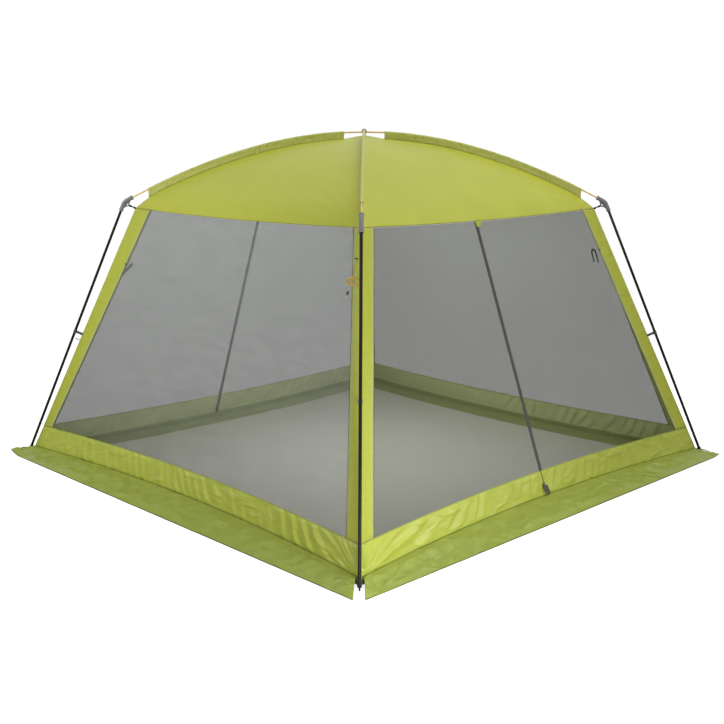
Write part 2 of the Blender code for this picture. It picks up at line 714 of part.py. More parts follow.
def leg_clip_mesh():
    """An open ring on the leg, with an arm to the corner seam."""
    middle = LEG_FRAME @ Vector((0.0, 0.0, CLIP_HEIGHT / math.cos(LEG_LEAN)))
    inner = LEG_RADIUS + FIT
    outer = inner + CLIP_WALL
    half = CLIP_LENGTH / 2
    lean = LEG_DIRECTION * half
    ring = rod_mesh("clip_ring", outer, middle - lean, middle + lean)
    seam = wall_half(CLIP_HEIGHT) * ROOT2 - SHEET
    arm = box_mesh("clip_arm", (middle.x - seam, CLIP_ARM[0], CLIP_ARM[1]),
                   Matrix.Translation(((middle.x + seam) / 2, 0.0, middle.z)))
    bore = rod_mesh("clip_bore", inner, middle - lean * 3, middle + lean * 3)
    mouth = box_mesh("clip_mouth", (outer * 2, CLIP_MOUTH, CLIP_LENGTH * 3),
                     Matrix.Translation((middle.x + outer, 0.0, middle.z)))
    return combined("leg_clip", ring, cuts=[bore, mouth], unions=[arm])


def toggle_mesh(hand, along, height, shift):
    """A barrel on a tab at a strip, for tying a rolled wall back. Its middle is shifted along from the tab."""
    distance = wall_distance(along, height)
    centre = Vector((distance + TOGGLE_STANDOFF, along - shift, height))
    half = Vector((0.0, TOGGLE_LENGTH / 2, 0.0))
    barrel = rod_mesh("toggle_barrel", TOGGLE_RADIUS, centre - half, centre + half, sides=10)
    depth = TOGGLE_STANDOFF + SHEET * 0.6
    tab = box_mesh("toggle_tab", (depth, TOGGLE_TAB, TOGGLE_TAB),
                   Matrix.Translation((distance + TOGGLE_STANDOFF - depth / 2, along, height)))
    mesh = combined("toggle", barrel, unions=[tab])
    if hand < 0:
        mesh.transform(Matrix(((0, 1, 0, 0), (1, 0, 0, 0), (0, 0, 1, 0), (0, 0, 0, 1))))
        mesh.flip_normals()
    mesh.transform(Matrix.Rotation(math.radians(-45), 4, "Z"))
    return mesh


def skirt_mesh():
    """The mud skirt of one wall: down from the band's foot and out along the ground."""
    foot = BAND_FOOT - 2 * SEAM_GAP
    half = wall_half(BAND_FOOT) - SKIRT_CUT

    def place(across, up):
        share = 2 * across - 1
        out = 1 - up
        inner, outer = share * half, share * SKIRT_TIP
        start = wall_distance(inner, BAND_FOOT)
        height = SHEET + (foot - SHEET) * up ** SKIRT_CURL
        return Vector((between(inner, outer, out), -between(start, SKIRT_HALF, out), height))

    return sheet_mesh("skirt", 14, 5, place)


# Doors

def door_meshes(side):
    """Net, band and zip tape of both halves of a door, in the front wall's place."""
    corner = {-1: lambda height: -wall_half(height), 1: wall_half}
    halves = []
    for hand in (-1, 1):
        tape = (door_line(side, hand * CHAIN_GAP / 2), door_line(side, hand * TAPE_WIDTH))
        cloth = door_line(side, hand * (TAPE_WIDTH + SEAM_GAP))
        net, band, strip = [edges[::hand] for edges in (
            (cloth, strip_edge("door", hand)), (cloth, corner[hand]), tape)]
        halves.append((
            wall_sheet("door_net", 5, 6, *net, BAND_TOP + SEAM_GAP, None),
            wall_sheet("door_band", 6, 2, *band, BAND_FOOT, BAND_TOP - SEAM_GAP),
            wall_sheet("zip_tape", 1, 7, *strip, BAND_FOOT, None)))
    return halves


def zip_direction(side):
    line = door_line(side)
    low, high = BAND_TOP, EAVE_HEIGHT - 0.1
    return (front_point(line(high), high) - front_point(line(low), low)).normalized()


def slider_mesh(side, height, hand):
    """A slider's two plates either side of the tapes, joined by a post in the gap, with its pull."""
    line = door_line(side)
    middle = front_point(line(height), height)
    up = zip_direction(side)
    across = Vector((1.0, 0.0, 0.0))
    outward = across.cross(up).normalized()
    across = up.cross(outward).normalized()
    frame = Matrix((
        (across.x, outward.x, up.x, middle.x), (across.y, outward.y, up.y, middle.y),
        (across.z, outward.z, up.z, middle.z), (0.0, 0.0, 0.0, 1.0)))
    front = SLIDER_CLEARANCE + SLIDER_PLATE / 2
    back = -SHEET - SLIDER_CLEARANCE - SLIDER_PLATE / 2
    plates = [box_mesh("plate", (SLIDER_WIDTH, SLIDER_PLATE, SLIDER_HEIGHT), frame @ Matrix.Translation((0, y, 0)))
              for y in (front, back)]
    post = box_mesh("post", (SLIDER_POST, front - back, SLIDER_HEIGHT * 0.8),
                    frame @ Matrix.Translation((0, (front + back) / 2, 0)))
    hinge = Matrix.Translation((hand * PULL_WIDTH * 0.62, front + SLIDER_PLATE, 0.0))
    drop = Matrix.Rotation(PULL_LEAN, 4, "X") @ Matrix.Translation((0.0, 0.0, -PULL_LENGTH / 2))
    pull = box_mesh("pull", (PULL_WIDTH, PULL_THICKNESS, PULL_LENGTH), frame @ hinge @ drop)
    lug = box_mesh("lug", (SLIDER_WIDTH, PULL_THICKNESS + 2 * FIT, 0.006),
                   frame @ Matrix.Translation((hand * SLIDER_WIDTH / 3, front + SLIDER_PLATE, 0.0)))
    return combined(f"slider_{side}", plates[0], unions=[post, plates[1], lug, pull])


# Guy rope

def hank_edge(turn):
    """The hank's inner turn: a round-ended loop, drawn in at the middle and bent down at both ends."""
    eighths = turn % 1.0 * 8
    straight = HANK_LENGTH - HANK_WIDTH
    if 1 <= eighths < 3 or 5 <= eighths < 7:
        side = 1 if eighths < 3 else -1
        angle = math.pi / 2 * (eighths - (1 if side > 0 else 5))
        x, y = side * (straight + HANK_WIDTH * math.sin(angle)), side * HANK_WIDTH * math.cos(angle)
    elif 3 <= eighths < 5:
        x, y = straight * (4 - eighths), -HANK_WIDTH
    else:
        x, y = straight * (eighths if eighths < 1 else eighths - 8), HANK_WIDTH
    y -= math.copysign(HANK_WAIST * math.exp(-(2 * x / HANK_LENGTH) ** 2), y)
    angle = x / HANK_BEND
    return Vector(((HANK_BEND + y) * math.sin(angle), (HANK_BEND + y) * math.cos(angle) - HANK_BEND))


def hank_place(turn, size):
    """A point of a turn in the hank's plane, a number of pitches outside the inner turn. Turns start at the top."""
    ahead = hank_edge(turn + 0.002) - hank_edge(turn - 0.002)
    place = hank_edge(turn) + Vector((-ahead.y, ahead.x)).normalized() * size * ROPE_PITCH
    return place.x, place.y


def tab_place():
    """Where the toggle's tab is in the hank's axes."""
    along = wall_half(ROPE_TOGGLE_HEIGHT) - ROPE_TOGGLE[0]
    point = Vector((-wall_distance(along, ROPE_TOGGLE_HEIGHT), -along, ROPE_TOGGLE_HEIGHT))
    place = left_wall_matrix().inverted() @ point
    return place.x, place.y


def rope_points():
    """The whole rope in the hank's axes: over the toggle's tab, down, in through one layer, out through the next."""
    inner, outer = ROPE_STANDOFF, ROPE_STANDOFF + ROPE_LAYER
    top_x, top_y = hank_place(0.0, TURNS_IN_LAYER)
    tab_x, tab_y = tab_place()
    turn_radius = TOGGLE_TAB / 2 + FIT * 2 + ROPE_RADIUS
    points = [(tab_x + turn_radius, tab_y - 0.012, inner), (tab_x + turn_radius, tab_y - 0.006, inner)]
    for k in range(9):
        angle = math.pi * k / 8
        points.append((tab_x + turn_radius * math.cos(angle), tab_y + turn_radius * math.sin(angle), inner))
    points.append((tab_x - turn_radius, tab_y - 0.010, inner))
    points.append((top_x - ROPE_BEND, top_y + ROPE_BEND + 0.012, inner))
    for k in range(5):
        angle = math.pi / 2 * k / 4
        points.append((top_x - ROPE_BEND * math.cos(angle), top_y + ROPE_BEND * (1 - math.sin(angle)), inner))
    steps = TURNS_IN_LAYER * POINTS_IN_TURN
    half = POINTS_IN_TURN // 2
    for k in range(1, steps + 1):
        turn = k / POINTS_IN_TURN
        points.append((*hank_place(turn, TURNS_IN_LAYER - turn), inner))
    for k in range(1, half + 1):
        rise = (k / half) ** 2 * (3 - 2 * k / half)
        points.append((*hank_place(k / POINTS_IN_TURN, 0.0), inner + ROPE_LAYER * rise))
    for k in range(1, steps + 1):
        turn = k / POINTS_IN_TURN
        points.append((*hank_place(turn + 0.5, turn * OUTER_LOOSENESS), outer))
    foot_x, foot_y, _ = points[-1]
    centre_y = foot_y - ROPE_BEND
    for k in range(1, 5):
        angle = (math.pi / 2 - TAIL_LEAN) * k / 4
        points.append((foot_x - ROPE_BEND * math.sin(angle), centre_y + ROPE_BEND * math.cos(angle), outer))
    x, y, _ = points[-1]
    down = (-math.sin(TAIL_LEAN), -math.cos(TAIL_LEAN))
    tail = [(x + down[0] * reach, y + down[1] * reach, outer) for reach in (0.0, TAIL_LENGTH)]
    points.append(tail[1])
    heading = math.pi / 2 + TAIL_LEAN
    x, y, _ = tail[1]
    for k in range(1, 5):
        heading += math.radians(18)
        x -= TAIL_CURL / 4 * math.sin(heading - math.pi / 2)
        y -= TAIL_CURL / 4 * math.cos(heading - math.pi / 2)
        points.append((x, y, outer))
    x -= 2 * ROPE_RADIUS * math.sin(heading - math.pi / 2)
    y -= 2 * ROPE_RADIUS * math.cos(heading - math.pi / 2)
    points.append((x, y, outer))
    return points, tail


def left_wall_matrix():
    """From the hank's axes to the gazebo."""
    place = Vector((-wall_distance(HANK_ALONG, HANK_HEIGHT), -HANK_ALONG, HANK_HEIGHT))
    step = 0.05
    high = Vector((-wall_distance(HANK_ALONG, HANK_HEIGHT + step), -HANK_ALONG, HANK_HEIGHT + step))
    far = Vector((-wall_distance(HANK_ALONG + step, HANK_HEIGHT), -HANK_ALONG - step, HANK_HEIGHT))
    up = (high - place).normalized()
    along = (far - place).normalized()
    out = along.cross(up).normalized()
    along = up.cross(out).normalized()
    return Matrix((
        (along.x, up.x, out.x, place.x), (along.y, up.y, out.y, place.y),
        (along.z, up.z, out.z, place.z), (0.0, 0.0, 0.0, 1.0)))


def least_gap(points, radius):
    """The smallest gap of a tube to itself, between places more than two diameters apart along it."""
    dense, marks, mark = [], [], 0.0
    for start, end in zip(points, points[1:]):
        start, end = np.array(start), np.array(end)
        length = np.linalg.norm(end - start)
        count = max(1, int(length / 0.0006))
        for k in range(count):
            dense.append(start + (end - start) * k / count)
            marks.append(mark + length * k / count)
        mark += length
    dense, marks = np.array(dense), np.array(marks)
    least = 1.0
    for place, at in zip(dense, marks):
        far = np.abs(marks - at) > 4 * radius
        least = min(least, np.linalg.norm(dense[far] - place, axis=1).min())
    return least - 2 * radius


def rope_meshes():
    """The rope, and the runner on its tail with the way it slides."""
    points, tail = rope_points()
    turn = left_wall_matrix()
    rope = tube_mesh("guy_rope", [turn @ Vector(point) for point in points], ROPE_RADIUS, resolution=1)
    print("rope length", round(sum(math.dist(a, b) for a, b in zip(points, points[1:])), 3),
          "least gap of the rope to itself in mm", round(least_gap(points, ROPE_RADIUS) * 1000, 2))
    start, end = (turn @ Vector(place) for place in tail)
    down = (end - start).normalized()
    middle = start + down * RUNNER_PLACE
    out = turn.to_3x3() @ Vector((0.0, 0.0, 1.0))
    side = down.cross(out).normalized()
    frame = Matrix((
        (side.x, out.x, down.x, middle.x), (side.y, out.y, down.y, middle.y),
        (side.z, out.z, down.z, middle.z), (0.0, 0.0, 0.0, 1.0)))
    block = box_mesh("runner_block", RUNNER_SIZE, frame)
    half = down * RUNNER_SIZE[2]
    bore = rod_mesh("runner_bore", RUNNER_BORE, middle - half, middle + half, sides=12)
    return smooth(rope), smooth(combined("rope_runner", block, cuts=[bore])), middle, -down


def build():
    lower, upper = leg_meshes()
    foot = foot_mesh()
    elbow = elbow_mesh()
    hook = eave_hook_mesh()
    lower.materials.append(finish("leg_steel", STEEL_BLACK, 0.35, 0.6))
    upper.materials.append(lower.materials[0])
    foot.materials.append(finish("foot_cap", PLASTIC_BLACK, 0.6))
    elbow.materials.append(finish("elbow_plastic", PLASTIC_GREY, 0.5))
    hook.materials.append(finish("hook_cord", PLASTIC_BLACK, 0.7))
    leg_places = [turn @ LEG_FRAME for turn in CORNER_TURNS]
    spread([f"leg_lower_{c}" for c in CORNERS], lower, leg_places)
    spread([f"leg_upper_{c}" for c in CORNERS], upper, leg_places)
    spread([f"foot_{c}" for c in CORNERS], foot, CORNER_TURNS)
    spread([f"elbow_{c}" for c in CORNERS], elbow, CORNER_TURNS)
    spread([f"eave_hook_{c}" for c in CORNERS], hook, CORNER_TURNS)

    glass_fibre = finish("pole_fibreglass", POLE_TAN, 0.4)
    sleeve_cloth = finish("sleeve_cloth", OLIVE, 0.8)
    for number, level in ((0, 1.0), (1, -1.0)):
        long_rod, short_rod = pole_meshes(level)
        tunnel = sleeve_mesh(level)
        for mesh in (long_rod, short_rod):
            mesh.materials.clear()
            mesh.materials.append(glass_fibre)
        tunnel.materials.append(sleeve_cloth)
        add(f"roof_pole_{number + 1}_long", long_rod, CORNER_TURNS[number])
        add(f"roof_pole_{number + 1}_short", short_rod, CORNER_TURNS[number])
        for corner in (number, number + 2):
            add(f"pole_sleeve_{CORNERS[corner]}", tunnel, CORNER_TURNS[corner])

    roof = roof_mesh()
    roof.materials.append(finish("roof_cloth", LIME, 0.75))
    add("roof_canopy", roof)
    tie = apex_tie_mesh()
    tie.materials.clear()
    tie.materials.append(finish("tie_webbing", PLASTIC_BLACK, 0.7))
    add("apex_tie", tie, CORNER_TURNS[0])

    strip_cloth = finish("strip_cloth", LIME, 0.75)
    rope_toggle_along = wall_half(ROPE_TOGGLE_HEIGHT) - ROPE_TOGGLE[0]
    shift = TOGGLE_LENGTH / 2 - TOGGLE_TAB
    toggles = {0: [(1, rope_toggle_along, ROPE_TOGGLE_HEIGHT, 0.0)], 1: [
        (hand, wall_half(height) - strip_width(kind, hand, height) + TOGGLE_INSET, height, shift)
        for hand, kind, height in ((1, "door", EAVE_HEIGHT - DOOR_TOGGLE_DROP),
                                   (-1, "plain", EAVE_HEIGHT - PLAIN_TOGGLE_DROP))]}
    for parity, kinds in ((0, {1: "plain", -1: "door"}), (1, {1: "door", -1: "plain"})):
        strip = strip_mesh(f"corner_strip_{parity}", kinds, toggles[parity])
        strip.materials.clear()
        strip.materials.append(strip_cloth)
        for corner in (parity, parity + 2):
            add(f"corner_strip_{CORNERS[corner]}", strip, CORNER_TURNS[corner])

    skirt = skirt_mesh()
    skirt.materials.append(finish("skirt_cloth", OLIVE, 0.8))
    spread([f"skirt_{s}" for s in SIDES], skirt, WALL_TURNS)

    net = finish("net_mesh", NET_GREY, 0.9)
    band_cloth = finish("band_cloth", LIME, 0.75)
    plain_net = wall_sheet("plain_net", 8, 6, strip_edge("plain", -1), strip_edge("plain", 1),
                           BAND_TOP + SEAM_GAP, None)
    plain_net.materials.append(net)
    plain_band = wall_sheet("plain_band", 10, 2, lambda z: CORNER_SETBACK - wall_half(z),
                            lambda z: wall_half(z) - CORNER_SETBACK,
                            BAND_FOOT, BAND_TOP - SEAM_GAP)
    plain_band.materials.append(band_cloth)
    for k in (1, 3):
        add(f"net_{SIDES[k]}", plain_net, WALL_TURNS[k])
        add(f"band_{SIDES[k]}", plain_band, WALL_TURNS[k])

    tape_cloth = finish("zip_tape", PLASTIC_BLACK, 0.8)
    slider_metal = finish("slider_metal", (0.10, 0.10, 0.10), 0.4, 0.7)
    for k in (0, 2):
        side = SIDES[k]
        for hand, meshes in zip(("left", "right"), door_meshes(side)):
            door_net, door_band, tape = meshes
            door_net.materials.append(net)
            door_band.materials.append(band_cloth)
            tape.materials.append(tape_cloth)
            pieces = [
                add(f"door_net_{side}_{hand}", door_net, WALL_TURNS[k]),
                add(f"door_band_{side}_{hand}", door_band, WALL_TURNS[k]),
                add(f"zip_tape_{side}_{hand}", tape, WALL_TURNS[k])]
            top = WALL_TURNS[k] @ front_point(door_line(side)(EAVE_HEIGHT), EAVE_HEIGHT)
            hold(pieces, f"door_{side}_{hand}_slide", top)
        spacing = SLIDER_HEIGHT + 2 * FIT
        for name, height, hand in (("lower", LOWER_SLIDER_HEIGHT, 1), ("upper", LOWER_SLIDER_HEIGHT + spacing, -1)):
            slider = slider_mesh(side, height, hand)
            slider.materials.clear()
            slider.materials.append(slider_metal)
            piece = add(f"zip_slider_{side}_{name}", slider, WALL_TURNS[k])
            hold([piece], f"zip_slider_{side}_{name}_slide",
                 WALL_TURNS[k] @ front_point(door_line(side)(height), height))
        axis = WALL_TURNS[k].to_3x3() @ zip_direction(side)
        print(f"{side} zip runs along", tuple(round(value, 5) for value in axis))

    rope, runner, middle, axis = rope_meshes()
    rope.materials.append(finish("rope_cord", ROPE_YELLOW, 0.8))
    runner.materials.clear()
    runner.materials.append(finish("runner_plastic", PLASTIC_BLACK, 0.5))
    add("guy_rope", rope)
    hold([add("rope_runner", runner)], "rope_runner_slide", middle)
    print("rope runner slides along", tuple(round(value, 5) for value in axis))


build()
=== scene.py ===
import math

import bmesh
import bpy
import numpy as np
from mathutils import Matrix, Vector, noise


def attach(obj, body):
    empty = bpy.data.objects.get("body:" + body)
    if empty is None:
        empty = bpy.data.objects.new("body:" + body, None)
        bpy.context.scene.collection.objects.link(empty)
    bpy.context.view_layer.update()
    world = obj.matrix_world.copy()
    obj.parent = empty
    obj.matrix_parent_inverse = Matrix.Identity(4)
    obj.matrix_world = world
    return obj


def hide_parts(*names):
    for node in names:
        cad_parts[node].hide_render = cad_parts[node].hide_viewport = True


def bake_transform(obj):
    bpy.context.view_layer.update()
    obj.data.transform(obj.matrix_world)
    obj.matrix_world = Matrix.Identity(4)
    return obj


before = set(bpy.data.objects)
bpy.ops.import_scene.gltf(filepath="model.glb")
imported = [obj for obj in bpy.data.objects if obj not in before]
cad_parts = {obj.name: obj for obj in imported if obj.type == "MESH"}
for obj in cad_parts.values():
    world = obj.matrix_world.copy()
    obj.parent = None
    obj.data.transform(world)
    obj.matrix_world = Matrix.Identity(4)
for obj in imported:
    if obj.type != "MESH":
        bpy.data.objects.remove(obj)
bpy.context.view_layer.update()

# %% [markdown]
# # A camping gazebo
#
# This lesson dresses the model of a screen shelter for the camp or the garden: four leaning steel legs,
# two bent roof poles that cross over the crown, a domed cloth roof, net walls with two zipped doors, and
# skirts that lie on the ground. The frame above is the plain model. Each cell below swaps one of its
# pieces for a finer one or gives it a better finish.
#
# All lengths are in metres. X runs along the front wall, Z is up, and the front wall faces -Y.

# %% [markdown]
# ## Where we stand
#
# The camera comes first, because it decides how fine each piece has to be. It stands a little outside the
# front left corner, somewhat above eye level, and looks slightly down. A constraint could aim it at the
# tent, but two plain angles are easier to read and give the same view each time.

# %% Camera
CAMERA_PLACE = (-5.448, -5.553, 2.3185)
CAMERA_DOWN, CAMERA_TURN = 11.85, -44.338
CAMERA_LENS = 54.64

camera = bpy.data.objects.new("camera", bpy.data.cameras.new("camera"))
bpy.context.scene.collection.objects.link(camera)
camera.location = CAMERA_PLACE
camera.rotation_euler = (math.radians(90 - CAMERA_DOWN), 0.0, math.radians(CAMERA_TURN))
camera.data.sensor_width = 36.0
camera.data.lens = CAMERA_LENS
bpy.context.scene.camera = camera
print("camera:", CAMERA_PLACE, "lens", CAMERA_LENS)

# %% [markdown]
# ## Sizes that the pieces share
#
# A tent is sewn from sheets that meet edge to edge, so every sheet has to take its edges from the same
# few lines. The values below say where the frame stands and where the seams run. Each sheet could be
# drawn by eye instead, but then gaps and overlaps would show along every seam.
#
# A strip's widths are given at the eave and at the foot, for the left and the right end of each wall as
# seen from outside. A door's line is given by its place along the wall at the eave and at the foot.

# %% Frame and seam sizes
ROOT2 = math.sqrt(2.0)
FOOT_SPACING = 3.500
BEND_SPACING = 2.387
BEND_HEIGHT = 1.835
CROWN_HEIGHT = 2.320
POLE_FLATTEN = 0.10
POLE_RADIUS = 0.0055
LEG_RADIUS = 0.0095
FIT = 0.0003
SEAM_GAP = 0.0003
SHEET = 0.0015
CLOTH = 0.0008
BEND_REACH = BEND_SPACING / ROOT2
FOOT_REACH = FOOT_SPACING / ROOT2

EAVE_HEIGHT = BEND_HEIGHT - 0.045
EAVE_HALF = BEND_SPACING / 2 - 0.0541
WALL_GROUND_HALF = FOOT_SPACING / 2 - 0.017
WALL_LEAN = (WALL_GROUND_HALF - EAVE_HALF) / EAVE_HEIGHT
EAVE_SAG = 0.018
WALL_BOW = 0.133
BAND_TOP = 0.205
BAND_FOOT = 0.048
SIDES = ("front", "right", "back", "left")
STRIP_WIDTHS = {
    "front": ((0.102, 0.124), (0.145, 0.128)), "right": ((0.080, 0.150), (0.045, 0.140)),
    "back": ((0.165, 0.150), (0.150, 0.078)), "left": ((0.190, 0.089), (0.064, 0.132))}
DOOR_LINES = {"front": (-0.155, 0.085), "back": (-0.010, 0.160)}
DOOR_WALLS = ((0, "front"), (2, "back"))
PLAIN_WALLS = ((1, "right"), (3, "left"))
CORNERS = ("front_left", "front_right", "back_right", "back_left")
WALL_TURNS = [Matrix.Rotation(math.radians(90 * k), 4, "Z") for k in range(4)]
CORNER_TURNS = [Matrix.Rotation(math.radians(225 + 90 * k), 4, "Z") for k in range(4)]


def between(low, high, share):
    return low + (high - low) * share


print("feet", FOOT_SPACING, "m apart, eave at", EAVE_HEIGHT, "m, crown at", CROWN_HEIGHT, "m")

# %% [markdown]
# A bent pole is a flat arch. The roof's seam follows it a hand's breadth lower, rises to a point where a
# strap holds it up to the crossing of the poles, and comes away from the pole near the eave. These lines
# could be curve objects, but as functions of the distance from the crown they serve every sheet.

# %% Roof lines
SLEEVE_DROP = 0.050
SLEEVE_START = 0.140
SLEEVE_END = EAVE_HALF * ROOT2 - 0.0964
APEX_LIFT = 0.020
APEX_SPREAD = 0.100


def pole_height(reach):
    share = abs(reach) / BEND_REACH
    fall = (1.0 + POLE_FLATTEN) * share ** 2 - POLE_FLATTEN * share ** 4
    return CROWN_HEIGHT - (CROWN_HEIGHT - BEND_HEIGHT) * fall


def pole_point(reach, level):
    """A point of a pole that runs along X. The upper pole has level 1 and the lower one -1."""
    share = min(1.0, abs(reach) / BEND_REACH)
    rise = level * (POLE_RADIUS + FIT / 2) * (1 - share ** 2) ** 2
    return Vector((reach, 0.0, pole_height(reach) + rise))


def roof_height(reach):
    """Height of the roof's seam along a diagonal."""
    corner = EAVE_HALF * ROOT2
    tail = max(0.0, (reach - SLEEVE_END + APEX_SPREAD) / (corner - SLEEVE_END + APEX_SPREAD))
    drop = SLEEVE_DROP + (pole_height(corner) - EAVE_HEIGHT - SLEEVE_DROP) * tail ** 2
    return pole_height(reach) - drop + APEX_LIFT * math.exp(-(reach / APEX_SPREAD) ** 2)


def eave_height(along):
    return EAVE_HEIGHT - EAVE_SAG * (1.0 - (along / EAVE_HALF) ** 2)


print("roof's seam at the crown:", round(roof_height(0.0), 3), "m")

# %% [markdown]
# The walls lean in as they rise, and their cloth draws in between the corners, most of all at the ground.
# The functions are written for the front wall. The other three are the same wall turned by 90 degrees,
# which saves three sets of formulas and keeps the corners alike.

# %% Wall lines
def wall_half(height):
    return WALL_GROUND_HALF - WALL_LEAN * height


def wall_distance(along, height):
    half = wall_half(height)
    bow = WALL_BOW * (1.0 - height / EAVE_HEIGHT)
    return half - bow * (1.0 - (along / half) ** 2)


def front_point(along, height, proud=0.0):
    return Vector((along, -wall_distance(along, height) - proud, height))


def strip_width(side, hand, height):
    top, foot = STRIP_WIDTHS[side][0 if hand < 0 else 1]
    return between(foot, top, height / EAVE_HEIGHT)


def strip_edge(side, hand):
    return lambda height: hand * (wall_half(height) - strip_width(side, hand, height) - SEAM_GAP)


def door_line(side, offset=0.0):
    top, foot = DOOR_LINES[side]
    return lambda height: between(foot, top, height / EAVE_HEIGHT) + offset


print("wall at the ground:", round(2 * WALL_GROUND_HALF, 3), "m wide, lean", round(WALL_LEAN, 3))

# %% [markdown]
# ## The guy rope
#
# The rope is a fixed length of limp braided cord, 3 mm thick. It hangs from a toggle at the front left
# corner, wound into a hank in two layers: the first is wound inwards, the second outwards over it, and
# the tail with its runner hangs down. A rope could be dropped by a simulation, but one formula for the
# turns makes sure that no two of them touch.

# %% The way of one turn
ROPE_RADIUS = 0.0015
ROPE_PITCH = 0.0042
ROPE_LAYER = 0.0038
ROPE_STANDOFF = 0.0020
OUTER_LOOSENESS = 1.12
HANK_ALONG = 1.165
HANK_HEIGHT = EAVE_HEIGHT - 0.285
HANK_LENGTH = 0.0340
HANK_WIDTH = 0.0085
HANK_WAIST = 0.0035
HANK_BEND = 0.0420
TURNS_IN_LAYER = 4
POINTS_IN_TURN = 24


def hank_edge(turn):
    """The inner turn: a round-ended loop, drawn in at the middle and bent down at both ends."""
    eighths = turn % 1.0 * 8
    straight = HANK_LENGTH - HANK_WIDTH
    if 1 <= eighths < 3 or 5 <= eighths < 7:
        side = 1 if eighths < 3 else -1
        angle = math.pi / 2 * (eighths - (1 if side > 0 else 5))
        x, y = side * (straight + HANK_WIDTH * math.sin(angle)), side * HANK_WIDTH * math.cos(angle)
    elif 3 <= eighths < 5:
        x, y = straight * (4 - eighths), -HANK_WIDTH
    else:
        x, y = straight * (eighths if eighths < 1 else eighths - 8), HANK_WIDTH
    y -= math.copysign(HANK_WAIST * math.exp(-(2 * x / HANK_LENGTH) ** 2), y)
    angle = x / HANK_BEND
    return Vector(((HANK_BEND + y) * math.sin(angle), (HANK_BEND + y) * math.cos(angle) - HANK_BEND))


def hank_place(turn, size):
    ahead = hank_edge(turn + 0.002) - hank_edge(turn - 0.002)
    place = hank_edge(turn) + Vector((-ahead.y, ahead.x)).normalized() * size * ROPE_PITCH
    return place.x, place.y


print("hank:", 2 * TURNS_IN_LAYER, "turns, the inmost", 2 * HANK_LENGTH, "m long")

# %% [markdown]
# The rope's route starts in a small loop over the toggle's tab, goes through all turns and ends in the
# tail. It is worked out flat, where the turns are easy to think of, and one matrix then lays it against
# the leaning left wall.

# %% The whole route
ROPE_TOGGLE_IN, ROPE_TOGGLE_HEIGHT = 0.033, EAVE_HEIGHT - 0.165
TOGGLE_TAB = 0.0040
ROPE_BEND = 0.006
TAIL_LEAN = math.radians(10)
TAIL_LENGTH = 0.066
TAIL_CURL = 0.012


def axes_matrix(x, y, z, place):
    """The matrix of a frame with three directions and a place."""
    return Matrix(((x.x, y.x, z.x, place.x), (x.y, y.y, z.y, place.y), (x.z, y.z, z.z, place.z),
                   (0.0, 0.0, 0.0, 1.0)))


def left_wall_matrix():
    """From the hank's flat drawing to the left wall."""
    step = 0.05
    place, high, far = (Vector((-wall_distance(a, h), -a, h)) for a, h in (
        (HANK_ALONG, HANK_HEIGHT), (HANK_ALONG, HANK_HEIGHT + step), (HANK_ALONG + step, HANK_HEIGHT)))
    up = (high - place).normalized()
    out = (far - place).normalized().cross(up).normalized()
    return axes_matrix(up.cross(out).normalized(), up, out, place)


def rope_points():
    inner, outer = ROPE_STANDOFF, ROPE_STANDOFF + ROPE_LAYER
    top_x, top_y = hank_place(0.0, TURNS_IN_LAYER)
    along = wall_half(ROPE_TOGGLE_HEIGHT) - ROPE_TOGGLE_IN
    wall = left_wall_matrix()
    tab = wall.inverted() @ Vector((
        -wall_distance(along, ROPE_TOGGLE_HEIGHT), -along, ROPE_TOGGLE_HEIGHT))
    radius = TOGGLE_TAB / 2 + FIT * 2 + ROPE_RADIUS
    points = [(tab.x + radius, tab.y - 0.012, inner), (tab.x + radius, tab.y - 0.006, inner)]
    for k in range(9):
        angle = math.pi * k / 8
        points.append((tab.x + radius * math.cos(angle), tab.y + radius * math.sin(angle), inner))
    points.append((tab.x - radius, tab.y - 0.010, inner))
    points.append((top_x - ROPE_BEND, top_y + ROPE_BEND + 0.012, inner))
    for k in range(5):
        angle = math.pi / 2 * k / 4
        points.append((top_x - ROPE_BEND * math.cos(angle),
                       top_y + ROPE_BEND * (1 - math.sin(angle)), inner))
    steps, half = TURNS_IN_LAYER * POINTS_IN_TURN, POINTS_IN_TURN // 2
    for k in range(1, steps + 1):
        points.append((*hank_place(k / POINTS_IN_TURN, TURNS_IN_LAYER - k / POINTS_IN_TURN), inner))
    for k in range(1, half + 1):
        rise = (k / half) ** 2 * (3 - 2 * k / half)
        points.append((*hank_place(k / POINTS_IN_TURN, 0.0), inner + ROPE_LAYER * rise))
    for k in range(1, steps + 1):
        turn = k / POINTS_IN_TURN
        points.append((*hank_place(turn + 0.5, turn * OUTER_LOOSENESS), outer))
    x, y = points[-1][0], points[-1][1] - ROPE_BEND
    for k in range(1, 5):
        angle = (math.pi / 2 - TAIL_LEAN) * k / 4
        points.append((x - ROPE_BEND * math.sin(angle), y + ROPE_BEND * math.cos(angle), outer))
    start = Vector(points[-1])
    end = start - Vector((math.sin(TAIL_LEAN), math.cos(TAIL_LEAN), 0.0)) * TAIL_LENGTH
    points.append(tuple(end))
    heading = TAIL_LEAN
    x, y = end.x, end.y
    for k in range(5):
        heading += math.radians(18) * (k < 4)
        reach = TAIL_CURL / 4 if k < 4 else 2 * ROPE_RADIUS
        x, y = x - reach * math.sin(heading), y - reach * math.cos(heading)
        points.append((x, y, outer))
    return [wall @ Vector(p) for p in points]


# %% [markdown]
# A cord could be swept from a circle with the spin tool, one bend after another. A curve with a round
# bevel does it in one step and is made a mesh at the end. Evenly spaced points keep the braid's pattern
# even, because the curve's own UV map counts points and not lengths.

# %% Cords from points
def nothing_selected():
    bpy.ops.object.select_all(action="DESELECT")


